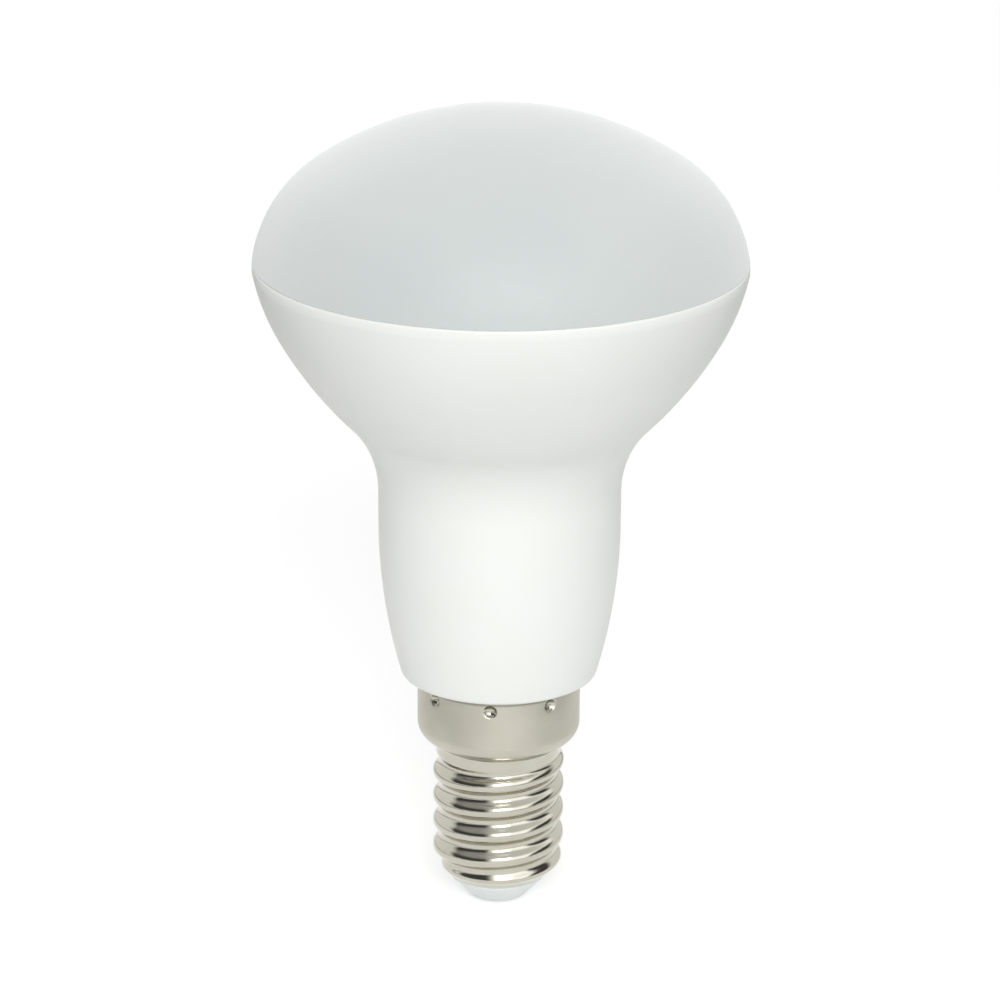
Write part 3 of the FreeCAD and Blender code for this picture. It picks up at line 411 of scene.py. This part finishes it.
def smooth_step(share):
    share = np.clip(share, 0.0, 1.0)
    return share * share * (3 - 2 * share)


def knuckle(turns):
    """The rounded thread's height over its middle radius, this many turns from a crest."""
    depth = THREAD_MAJOR_RADIUS - THREAD_MINOR_RADIUS
    quarter = THREAD_PITCH / 4
    arc_radius = quarter / math.sin(2 * math.atan(depth / (2 * quarter)))
    offset = np.abs((turns + 0.5) % 1.0 - 0.5) * 4 * quarter
    near = np.minimum(offset, quarter)
    far = np.minimum(2 * quarter - offset, quarter)
    crest = depth / 2 - arc_radius + np.sqrt(arc_radius**2 - near**2)
    root = arc_radius - depth / 2 - np.sqrt(arc_radius**2 - far**2)
    return np.where(offset <= quarter, crest, root)


def bend_rows(centre, radius, start, end, step):
    """Base rows on an arc over the thread, without its first. A hollow one's radius is negative."""
    rows = []
    count = math.ceil(abs(end - start) * abs(radius) / step)
    for lean in np.linspace(start, end, count + 1)[1:]:
        cos, sin = math.cos(lean), math.sin(lean)
        rows.append((centre[0] + radius * cos, centre[1] - radius * sin, cos, -sin, THREAD_TOP))
    return rows


def shell_base(step):
    """The shell's outer base line, bottom to top: radius, height, normal, height for the thread."""
    rows = []
    turn_angle = math.asin((SHELL_ROUND_HEIGHT - SHELL_EDGE_HEIGHT) / SHELL_ROUND)
    count = math.ceil(turn_angle * SHELL_ROUND / step)
    for i in range(count):
        lean = -turn_angle * (1 - i / count)
        cos, sin = math.cos(lean), math.sin(lean)
        radius = SHELL_MID_RADIUS - SHELL_ROUND * (1 - cos)
        height = SHELL_ROUND_HEIGHT + SHELL_ROUND * sin
        rows.append((radius, height, cos, sin, SHELL_ROUND_HEIGHT + SHELL_ROUND * lean))
    reach = COLLAR_ROUND + COLLAR_HOLLOW
    across = reach - (COLLAR_RADIUS - SHELL_MID_RADIUS)
    foot = COLLAR_ROUND_HEIGHT - math.sqrt(reach**2 - across**2)
    count = math.ceil((foot - SHELL_ROUND_HEIGHT) / step)
    for height in np.linspace(SHELL_ROUND_HEIGHT, foot, count):
        rows.append((SHELL_MID_RADIUS, height, 1.0, 0.0, height))
    collar_lean = math.acos(across / reach)
    hollow = (SHELL_MID_RADIUS + COLLAR_HOLLOW, foot)
    turn = (COLLAR_RADIUS - COLLAR_ROUND, COLLAR_ROUND_HEIGHT)
    rows += bend_rows(hollow, -COLLAR_HOLLOW, 0, collar_lean, step)
    rows += bend_rows(turn, COLLAR_ROUND, collar_lean, 0, step)
    dent_reach = CRIMP_PUNCH_RADIUS * DENT_MARGIN
    levels = list(np.arange(COLLAR_ROUND_HEIGHT, CRIMP_HEIGHT - dent_reach, COLLAR_STEP))[1:]
    levels += list(np.arange(CRIMP_HEIGHT - dent_reach, CRIMP_HEIGHT + dent_reach, step / 2))
    levels += [COLLAR_TOP]
    rows += [(COLLAR_RADIUS, level, 1.0, 0.0, THREAD_TOP) for level in levels]
    return np.array(rows)


def shell_skin(base, angles, inset):
    """Radii and heights of a skin of the shell, as columns by rows."""
    radius, height, normal_out, normal_up, level = base.T
    turns = (level[None, :] - THREAD_CREST_HEIGHT) / THREAD_PITCH - angles[:, None] / (2 * math.pi)
    fade = smooth_step((level - THREAD_BOTTOM) / THREAD_RUNOUT)
    fade = fade * smooth_step((THREAD_TOP - level) / THREAD_RUNOUT)
    offset = fade[None, :] * knuckle(turns) - inset
    spacing = 2 * math.pi / CRIMP_COUNT
    first = math.radians(CRIMP_ANGLE - 90)
    swing = (angles - first + spacing / 2) % spacing - spacing / 2
    from_dent = np.hypot(COLLAR_RADIUS * swing[:, None], height[None, :] - CRIMP_HEIGHT)
    cup = np.sqrt(np.maximum(CRIMP_PUNCH_RADIUS**2 - from_dent**2, 0))
    flat = CRIMP_DEPTH - CRIMP_PUNCH_RADIUS
    press = cup + flat
    dent = (press + np.hypot(press, DENT_SOFTNESS) - flat - math.hypot(flat, DENT_SOFTNESS)) / 2
    offset = offset - np.where(height[None, :] > COLLAR_ROUND_HEIGHT, dent, 0)
    return radius + offset * normal_out, height + offset * normal_up


def make_screw_shell():
    even = np.linspace(0, 2 * math.pi, SHELL_COLUMNS, endpoint=False)
    first = math.radians(CRIMP_ANGLE - 90)
    angles = even - COLUMN_GATHER / CRIMP_COUNT * np.sin(CRIMP_COUNT * (even - first))
    outer = shell_skin(shell_base(SHELL_STEP), angles, 0)
    inner = shell_skin(shell_base(SHELL_INSIDE_STEP)[::-1], angles, SHELL_WALL)
    radii = np.concatenate([outer[0], inner[0]], axis=1)
    heights = np.concatenate([outer[1], inner[1]], axis=1)
    faces = ring_faces(SHELL_COLUMNS, radii.shape[1], True)
    shell = add_piece("nickel_shell", ring_vertices(radii, heights, angles), faces)
    return dress(shell, "screw_shell")


# Insulator and centre contact.

def make_insulator():
    bore = CONTACT_STEM_RADIUS + FIT_CLEARANCE
    edge_lean = math.asin((SHELL_ROUND_HEIGHT - SHELL_EDGE_HEIGHT) / SHELL_ROUND)
    edge_bore = SHELL_MID_RADIUS - SHELL_ROUND + (SHELL_ROUND - SHELL_WALL) * math.cos(edge_lean)
    throat = edge_bore - FIT_CLEARANCE
    outline = [
        (bore, CONTACT_THICKNESS),
        (INSULATOR_TIP_RADIUS - INSULATOR_BEVEL, CONTACT_THICKNESS),
        (INSULATOR_TIP_RADIUS, CONTACT_THICKNESS + INSULATOR_BEVEL),
        (throat, SHELL_EDGE_HEIGHT - INSULATOR_DROP),
        (throat, SHELL_EDGE_HEIGHT + SHELL_WALL),
        (INSULATOR_FLANGE_RADIUS, SHELL_EDGE_HEIGHT + INSULATOR_FLANGE_RISE),
        (INSULATOR_FLANGE_RADIUS, INSULATOR_TOP),
        (bore, INSULATOR_TOP),
    ]
    insulator = lathe("cap_insulator", rounded(outline, INSULATOR_ROUND, True), True)
    return dress(insulator, "insulator")


def make_centre_contact():
    top = INSULATOR_TOP + CONTACT_STEM_ABOVE
    bore = LEAD_RADIUS + FIT_CLEARANCE
    outline = [
        (0, 0),
        (CONTACT_RADIUS - CONTACT_BEVEL, 0),
        (CONTACT_RADIUS, CONTACT_BEVEL),
        (CONTACT_RADIUS, CONTACT_THICKNESS),
        (CONTACT_STEM_RADIUS, CONTACT_THICKNESS),
        (CONTACT_STEM_RADIUS, top),
        (bore, top),
        (bore, CONTACT_FLOOR),
        (0, CONTACT_FLOOR),
    ]
    rounded_outline = rounded(outline, CONTACT_ROUND, False)
    contact = lathe("contact_button", rounded_outline, False, CONTACT_COLUMNS)
    return dress(contact, "centre_contact")


# Node helpers. A value is a number or another node's output.

def feed(tree, sockets, values):
    for socket, value in zip(sockets, values):
        if isinstance(value, bpy.types.NodeSocket):
            tree.links.new(value, socket)
        else:
            socket.default_value = value


def math_node(tree, operation, *values):
    node = tree.nodes.new("ShaderNodeMath")
    node.operation = operation
    feed(tree, node.inputs, values)
    return node.outputs["Value"]


def dot_product(tree, vector, fixed):
    node = tree.nodes.new("ShaderNodeVectorMath")
    node.operation = "DOT_PRODUCT"
    feed(tree, node.inputs, (vector, fixed))
    return node.outputs["Value"]


def ramp(tree, value, low, high, start=0.0, end=1.0):
    """Runs smoothly from start to end while the value runs from low to high."""
    node = tree.nodes.new("ShaderNodeMapRange")
    node.interpolation_type = "SMOOTHSTEP"
    names = ("Value", "From Min", "From Max", "To Min", "To Max")
    feed(tree, [node.inputs[name] for name in names], (value, low, high, start, end))
    return node.outputs["Result"]


def blend(tree, share, first, second, kind="FLOAT"):
    """From the first value at a share of 0 to the second at 1."""
    node = tree.nodes.new("ShaderNodeMix")
    node.data_type = kind
    feed(tree, [node.inputs[name] for name in ("Factor", "A", "B")], (share, first, second))
    return node.outputs["Result"]


def seen_directly(tree):
    """1 for camera, glossy and transmission rays, and 0 for the rest."""
    path = tree.nodes.new("ShaderNodeLightPath").outputs
    mirrored = math_node(tree, "MAXIMUM", path["Is Glossy Ray"], path["Is Transmission Ray"])
    return math_node(tree, "MAXIMUM", path["Is Camera Ray"], mirrored)


# Materials. Every texture is worked out from the object's own coordinates, in metres.

# A noise mostly lies between these two values.
NOISE_RANGE = (0.3, 0.7)


class Finish:
    """A material with one Principled shader and noise-driven colour, roughness and bump."""

    def __init__(self, name, metallic=0.0):
        self.material = bpy.data.materials.new(name)
        self.material.use_nodes = True
        self.tree = self.material.node_tree
        self.shader = self.tree.nodes["Principled BSDF"]
        self.shader.inputs["Metallic"].default_value = metallic
        self.place = self.tree.nodes.new("ShaderNodeTexCoord").outputs["Object"]

    def apply(self, values):
        for name, value in values.items():
            self.shader.inputs[name].default_value = value

    def link(self, source, target):
        self.tree.links.new(source, target)

    def noise(self, size_mm, stretch=(1, 1, 1), detail=3.0):
        """Noise whose grains are about this size, stretched along the axes."""
        mapping = self.tree.nodes.new("ShaderNodeMapping")
        mapping.inputs["Scale"].default_value = [1 / (size_mm * MM * axis) for axis in stretch]
        self.link(self.place, mapping.inputs["Vector"])
        noise = self.tree.nodes.new("ShaderNodeTexNoise")
        noise.inputs["Scale"].default_value = 1.0
        noise.inputs["Detail"].default_value = detail
        self.link(mapping.outputs["Vector"], noise.inputs["Vector"])
        return noise.outputs["Fac"]

    def spread(self, value, low, high):
        """Maps a noise's usual range to the range from low to high."""
        ranged = self.tree.nodes.new("ShaderNodeMapRange")
        names = ("Value", "From Min", "From Max", "To Min", "To Max")
        feed(self.tree, [ranged.inputs[name] for name in names], (value, *NOISE_RANGE, low, high))
        return ranged.outputs["Result"]

    def colour(self, value, first, second):
        """The shader's colour runs between two colours with a noise."""
        share = self.spread(value, 0, 1)
        mixed = blend(self.tree, share, (*first, 1), (*second, 1), "RGBA")
        self.link(mixed, self.shader.inputs["Base Color"])

    def roughness(self, value, low, high):
        self.link(self.spread(value, low, high), self.shader.inputs["Roughness"])

    def bump(self, value, height_mm):
        node = self.tree.nodes.new("ShaderNodeBump")
        node.inputs["Strength"].default_value = 1.0
        node.inputs["Distance"].default_value = height_mm * MM
        self.link(value, node.inputs["Height"])
        earlier = self.shader.inputs["Normal"].links
        if earlier:
            self.link(earlier[0].from_socket, node.inputs["Normal"])
        self.link(node.outputs["Normal"], self.shader.inputs["Normal"])


def paint(piece, finish):
    for target in [piece, *piece.children]:
        target.data.materials.clear()
        target.data.materials.append(finish.material)


OPAL_SURFACE = {
    "Diffuse Roughness": 0.5,
    "Coat Weight": 0.7,
    "Coat Roughness": 0.6,
    "Sheen Weight": 0.8,
    "Sheen Roughness": 0.6,
}


def opal_plastic():
    """The dome: soft and even, and lighter at its edges as light scatters in it."""
    finish = Finish("opal_plastic")
    finish.apply(OPAL_SURFACE)
    finish.colour(finish.noise(size_mm=14), (0.584, 0.627, 0.618), (0.610, 0.649, 0.638))
    finish.roughness(finish.noise(size_mm=1.2), low=0.52, high=0.68)
    finish.bump(finish.noise(size_mm=0.25, detail=4), height_mm=0.010)
    return finish


def white_plastic():
    """The housing: satin, faintly warm."""
    finish = Finish("white_plastic")
    finish.colour(finish.noise(size_mm=11), (0.885, 0.905, 0.868), (0.915, 0.926, 0.898))
    finish.roughness(finish.noise(size_mm=2.0), low=0.40, high=0.55)
    finish.bump(finish.noise(size_mm=0.35), height_mm=0.006)
    return finish


# The shell's roughness rises from the thread to the collar. In the dents it falls to a share of
# that between two depths in millimetres. Fine rings of noise vary it a little.
THREAD_ROUGHNESS = 0.10
COLLAR_ROUGHNESS = 0.42
PRESSED_SHARE = 0.35
PRESSED_DEPTHS = (0.02, 0.12)
RING_ROUGHNESS = 0.03
RING_STRETCH = (1, 1, 0.04)
# Painted shade: the plating's colour is darkened under the housing's edge and in the upper walls of
# the dents, where the gap and the pits lie in shadow. Heights run from bright to shaded, in
# millimetres.
PAINTED_SHADE = (0.200, 0.190, 0.146)
DENT_SHADE_HEIGHTS = (CRIMP_HEIGHT, CRIMP_HEIGHT + 0.3)
EDGE_SHADE_HEIGHTS = (HOUSING_BOTTOM - 0.92, HOUSING_BOTTOM - 0.72)
EDGE_SHADE_SHARE = 0.6


def nickel():
    """Plated brass sheet: satin on the collar, burnished by the rolls and by the punch."""
    finish = Finish("rolled_nickel", metallic=1.0)
    tree = finish.tree
    rings = finish.noise(size_mm=2.5, stretch=RING_STRETCH, detail=4)
    finish.colour(finish.noise(size_mm=3.5), (0.512, 0.492, 0.418), (0.557, 0.540, 0.468))
    place = tree.nodes.new("ShaderNodeSeparateXYZ")
    finish.link(finish.place, place.inputs["Vector"])
    x, y, z = (place.outputs[axis] for axis in "XYZ")
    heights = (THREAD_TOP * MM, COLLAR_ROUND_HEIGHT * MM)
    satin = ramp(tree, z, *heights, THREAD_ROUGHNESS, COLLAR_ROUGHNESS)
    squares = [math_node(tree, "POWER", side, 2.0) for side in (x, y)]
    reach = math_node(tree, "SQRT", math_node(tree, "ADD", *squares))
    shallow, deep = ((COLLAR_RADIUS - depth) * MM for depth in PRESSED_DEPTHS)
    pressed = ramp(tree, reach, deep, shallow, PRESSED_SHARE, 1.0)
    below_dents = math_node(tree, "LESS_THAN", z, (CRIMP_HEIGHT - CRIMP_PUNCH_RADIUS) * MM)
    dull = math_node(tree, "MULTIPLY", satin, math_node(tree, "MAXIMUM", pressed, below_dents))
    grain = finish.spread(rings, -RING_ROUGHNESS, RING_ROUGHNESS)
    finish.link(math_node(tree, "ADD", dull, grain), finish.shader.inputs["Roughness"])
    # Painted shade darkens the collar under the housing's edge and in the upper walls of the dents.
    in_dents = ramp(tree, reach, deep, shallow, 1.0, 0.0)
    high_in_dents = ramp(tree, z, *(height * MM for height in DENT_SHADE_HEIGHTS))
    shade_under_edge = ramp(tree, z, *(height * MM for height in EDGE_SHADE_HEIGHTS), 0.0, EDGE_SHADE_SHARE)
    dent_wall_shade = math_node(tree, "MULTIPLY", in_dents, high_in_dents)
    painted_shade = math_node(tree, "MAXIMUM", dent_wall_shade, shade_under_edge)
    base_colour = finish.shader.inputs["Base Color"]
    bright = base_colour.links[0].from_socket
    finish.link(blend(tree, painted_shade, bright, (*PAINTED_SHADE, 1), "RGBA"), base_colour)
    finish.bump(rings, height_mm=0.003)
    finish.bump(finish.noise(size_mm=1.6), height_mm=0.02)
    return finish


def insulator_plastic():
    finish = Finish("insulator_plastic")
    finish.colour(finish.noise(size_mm=2.0), (0.80, 0.85, 0.84), (0.84, 0.88, 0.87))
    finish.roughness(finish.noise(size_mm=1.5), low=0.28, high=0.4)
    finish.bump(finish.noise(size_mm=1.2), height_mm=0.002)
    return finish


def struck_metal():
    """The contact button: plated, with fine wear."""
    finish = Finish("struck_metal", metallic=1.0)
    finish.colour(finish.noise(size_mm=0.8), (0.56, 0.53, 0.46), (0.62, 0.59, 0.52))
    finish.roughness(finish.noise(size_mm=0.6), low=0.24, high=0.36)
    finish.bump(finish.noise(size_mm=0.8), height_mm=0.002)
    return finish


def plain(name, first, second, roughness, metallic, grain_mm):
    """A finish for a piece inside the lamp."""
    finish = Finish(name, metallic)
    grain = finish.noise(grain_mm)
    finish.colour(grain, first, second)
    low, high = (roughness * share for share in INNER_ROUGHNESS_SHARES)
    finish.roughness(finish.noise(grain_mm * 2), low, high)
    finish.bump(grain, INNER_BUMP)
    return finish


INNER_ROUGHNESS_SHARES = (0.8, 1.25)
INNER_BUMP = 0.004
# For each slot inside: two colours, roughness, metallic, and the size of its grain in millimetres.
INNER_FINISHES = {
    "bare_aluminium": ((0.62, 0.63, 0.64), (0.70, 0.71, 0.72), 0.35, 1.0, 3.0),
    "white_board": ((0.80, 0.80, 0.77), (0.86, 0.86, 0.84), 0.4, 0.0, 2.0),
    "led_phosphor": ((0.80, 0.62, 0.12), (0.88, 0.72, 0.20), 0.3, 0.0, 0.3),
    "screw_steel": ((0.48, 0.48, 0.50), (0.58, 0.58, 0.59), 0.3, 1.0, 0.6),
    "green_board": ((0.010, 0.085, 0.030), (0.016, 0.120, 0.045), 0.35, 0.0, 1.0),
    "tinned_wire": ((0.60, 0.60, 0.58), (0.70, 0.70, 0.69), 0.3, 1.0, 0.4),
    "black_package": ((0.006, 0.006, 0.006), (0.014, 0.014, 0.014), 0.55, 0.0, 0.2),
    "chip_resistor": ((0.010, 0.010, 0.012), (0.020, 0.020, 0.022), 0.35, 0.0, 0.3),
    "ferrite": ((0.020, 0.020, 0.022), (0.034, 0.034, 0.036), 0.6, 0.0, 0.3),
    "enamelled_copper": ((0.52, 0.16, 0.05), (0.64, 0.24, 0.09), 0.3, 1.0, 0.25),
    "capacitor_sleeve": ((0.010, 0.018, 0.060), (0.018, 0.030, 0.085), 0.3, 0.0, 1.5),
    "capacitor_epoxy": ((0.32, 0.035, 0.015), (0.42, 0.055, 0.025), 0.3, 0.0, 0.8),
    "resistor_lacquer": ((0.25, 0.36, 0.30), (0.32, 0.43, 0.36), 0.4, 0.0, 0.6),
}


def paint_inner_nodes():
    finishes = {slot: plain(slot, *values) for slot, values in INNER_FINISHES.items()}
    for entry in frame["record"]["subparts"]:
        slot = entry["material_slot"]
        if slot in finishes:
            paint(frame["nodes"][entry["node"]], finishes[slot])


# Light, floor and camera.

# The strength of the even light all round.
AMBIENT = 0.66
# The softbox: its place from the lamp's middle in degrees and metres, its size and its power.
KEY_AZIMUTH = 3.5
KEY_ELEVATION = 30.0
KEY_DISTANCE = 0.9
KEY_SIZE = (0.42, 0.30)
KEY_POWER = 3.7
# The studio as metal shows it above the floor: a wide light panel in front that runs on over the
# lamp, dark walls beside it, and white behind. Places are parts of a direction's X, Y and Z.
PANEL_ACROSS = (-0.46, -0.10, 0.70, 0.86)
HIGH = (0.50, 0.82)
PANEL_LOW, PANEL_HIGH = 1.8, 0.9
WALL_LOW, WALL_HIGH = 0.07, 0.42
BEHIND_ALONG = (-0.1, 1.0, -0.65)
BEHIND = (-0.20, 0.10)
HORIZON = (0.0, 0.14)
# White paper lies under the lamp. What the camera doesn't see has a grey strip on each side of it,
# which shades the metal. The strips' near and far soft edges are in metres.
STRIP_NEAR = (0.060, 0.090)
STRIP_FAR = (0.17, 0.26)
STRIP_SPREAD = 0.125
STRIP_GREY = 0.22
PAPER_GREY = 0.85
PAPER_ROUGHNESS = 0.9
PAPER_REACH = 3.0
PAPER_GLOW = 0.365
# Far from the lamp the paper is as white as what is behind it. Distances are squared, in metres.
FAR_PAPER = (0.1, 1.0)
FAR_GLOW = 0.10
# The camera, in metres and degrees. Lens and sensor are in millimetres, the shift in image widths.
CAMERA_DISTANCE = 0.400
CAMERA_TARGET = 44.154 * MM
CAMERA_ELEVATION = 19.436
CAMERA_ROLL = 0.3
CAMERA_LENS = 140.39
CAMERA_SENSOR = 36.0
CAMERA_CLIP_START = 0.01
IMAGE_SHIFT = (0.27 / 1000, 0.0)


def direction(azimuth, elevation):
    """Unit vector to a place round the lamp: azimuth 0 is -Y, and 90 is +X."""
    turn, rise = math.radians(azimuth), math.radians(elevation)
    level = math.cos(rise)
    return Vector((math.sin(turn) * level, -math.cos(turn) * level, math.sin(rise)))


def make_world():
    """Even light all round. Metal also sees the studio's light panel and dark walls."""
    world = bpy.data.worlds.new("studio")
    bpy.context.scene.world = world
    world.use_nodes = True
    tree = world.node_tree
    background = tree.nodes["Background"]
    background.inputs["Color"].default_value = (1, 1, 1, 1)
    direct = tree.nodes.new("ShaderNodeTexCoord").outputs["Generated"]
    towards = tree.nodes.new("ShaderNodeSeparateXYZ")
    tree.links.new(direct, towards.inputs["Vector"])
    x, z = towards.outputs["X"], towards.outputs["Z"]
    rise, full, fade, end = PANEL_ACROSS
    panel_sides = (ramp(tree, x, rise, full), ramp(tree, x, fade, end, 1.0, 0.0))
    panel = math_node(tree, "MULTIPLY", *panel_sides)
    wall_light = ramp(tree, z, *HIGH, WALL_LOW, WALL_HIGH)
    panel_light = ramp(tree, z, *HIGH, PANEL_LOW, PANEL_HIGH)
    ahead = blend(tree, panel, wall_light, panel_light)
    behind = ramp(tree, dot_product(tree, direct, BEHIND_ALONG), *BEHIND)
    above = blend(tree, behind, ahead, 1.0)
    studio = blend(tree, ramp(tree, z, *HORIZON), 1.0, above)
    path = tree.nodes.new("ShaderNodeLightPath").outputs
    shown = blend(tree, path["Is Glossy Ray"], 1.0, studio)
    feed(tree, [background.inputs["Strength"]], [blend(tree, seen_directly(tree), AMBIENT, shown)])


def make_floor():
    signs = ((-1, -1), (1, -1), (1, 1), (-1, 1))
    corners = [(x * PAPER_REACH, y * PAPER_REACH, 0) for x, y in signs]
    floor = add_piece("floor", corners, [(0, 1, 2, 3)])
    material = bpy.data.materials.new("floor_paper")
    material.use_nodes = True
    tree = material.node_tree
    shader = tree.nodes["Principled BSDF"]
    shader.inputs["Roughness"].default_value = PAPER_ROUGHNESS
    shader.inputs["Specular IOR Level"].default_value = 0.0
    shader.inputs["Emission Color"].default_value = (1, 1, 1, 1)
    place = tree.nodes.new("ShaderNodeSeparateXYZ")
    where = tree.nodes.new("ShaderNodeTexCoord").outputs["Object"]
    tree.links.new(where, place.inputs["Vector"])
    spread = math_node(tree, "MULTIPLY", place.outputs["Y"], STRIP_SPREAD)
    across = math_node(tree, "SUBTRACT", math_node(tree, "ABSOLUTE", place.outputs["X"]), spread)
    near, far = ramp(tree, across, *STRIP_NEAR, 1.0, 0.0), ramp(tree, across, *STRIP_FAR)
    camera = tree.nodes.new("ShaderNodeLightPath").outputs["Is Camera Ray"]
    white = math_node(tree, "MAXIMUM", math_node(tree, "MAXIMUM", near, far), camera)
    colours = [(grey, grey, grey, 1) for grey in (STRIP_GREY, PAPER_GREY)]
    seen = math_node(tree, "MULTIPLY", seen_directly(tree), white)
    far_glow = ramp(tree, dot_product(tree, where, where), *FAR_PAPER, 0.0, FAR_GLOW)
    near_glow = math_node(tree, "MULTIPLY", seen, PAPER_GLOW)
    glow = math_node(tree, "ADD", near_glow, math_node(tree, "MULTIPLY", camera, far_glow))
    targets = [shader.inputs["Base Color"], shader.inputs["Emission Strength"]]
    feed(tree, targets, [blend(tree, white, *colours, "RGBA"), glow])
    floor.data.materials.append(material)


def make_softbox():
    light = bpy.data.lights.new("key", "AREA")
    light.shape = "RECTANGLE"
    light.size, light.size_y = KEY_SIZE
    light.energy = KEY_POWER
    softbox = bpy.data.objects.new("key", light)
    toward = direction(KEY_AZIMUTH, KEY_ELEVATION)
    softbox.location = Vector((0, 0, CAMERA_TARGET)) + toward * KEY_DISTANCE
    softbox.rotation_euler = toward.to_track_quat("Z", "Y").to_euler()
    bpy.context.scene.collection.objects.link(softbox)


def make_camera():
    data = bpy.data.cameras.new("camera")
    data.sensor_width = CAMERA_SENSOR
    data.lens = CAMERA_LENS
    data.shift_x, data.shift_y = IMAGE_SHIFT
    data.clip_start = CAMERA_CLIP_START
    camera = bpy.data.objects.new("camera", data)
    back = direction(0, CAMERA_ELEVATION)
    roll = Matrix.Rotation(math.radians(CAMERA_ROLL), 3, "Z")
    turn = back.to_track_quat("Z", "Y").to_matrix() @ roll
    camera.rotation_euler = turn.to_euler()
    camera.location = Vector((0, 0, CAMERA_TARGET)) + back * CAMERA_DISTANCE
    bpy.context.scene.collection.objects.link(camera)
    bpy.context.scene.camera = camera


bpy.context.scene.view_settings.view_transform = "Standard"
paint(make_diffuser(), opal_plastic())
paint(make_housing(), white_plastic())
paint(make_screw_shell(), nickel())
paint(make_insulator(), insulator_plastic())
paint(make_centre_contact(), struck_metal())
paint_inner_nodes()
make_world()
make_floor()
make_softbox()
make_camera()
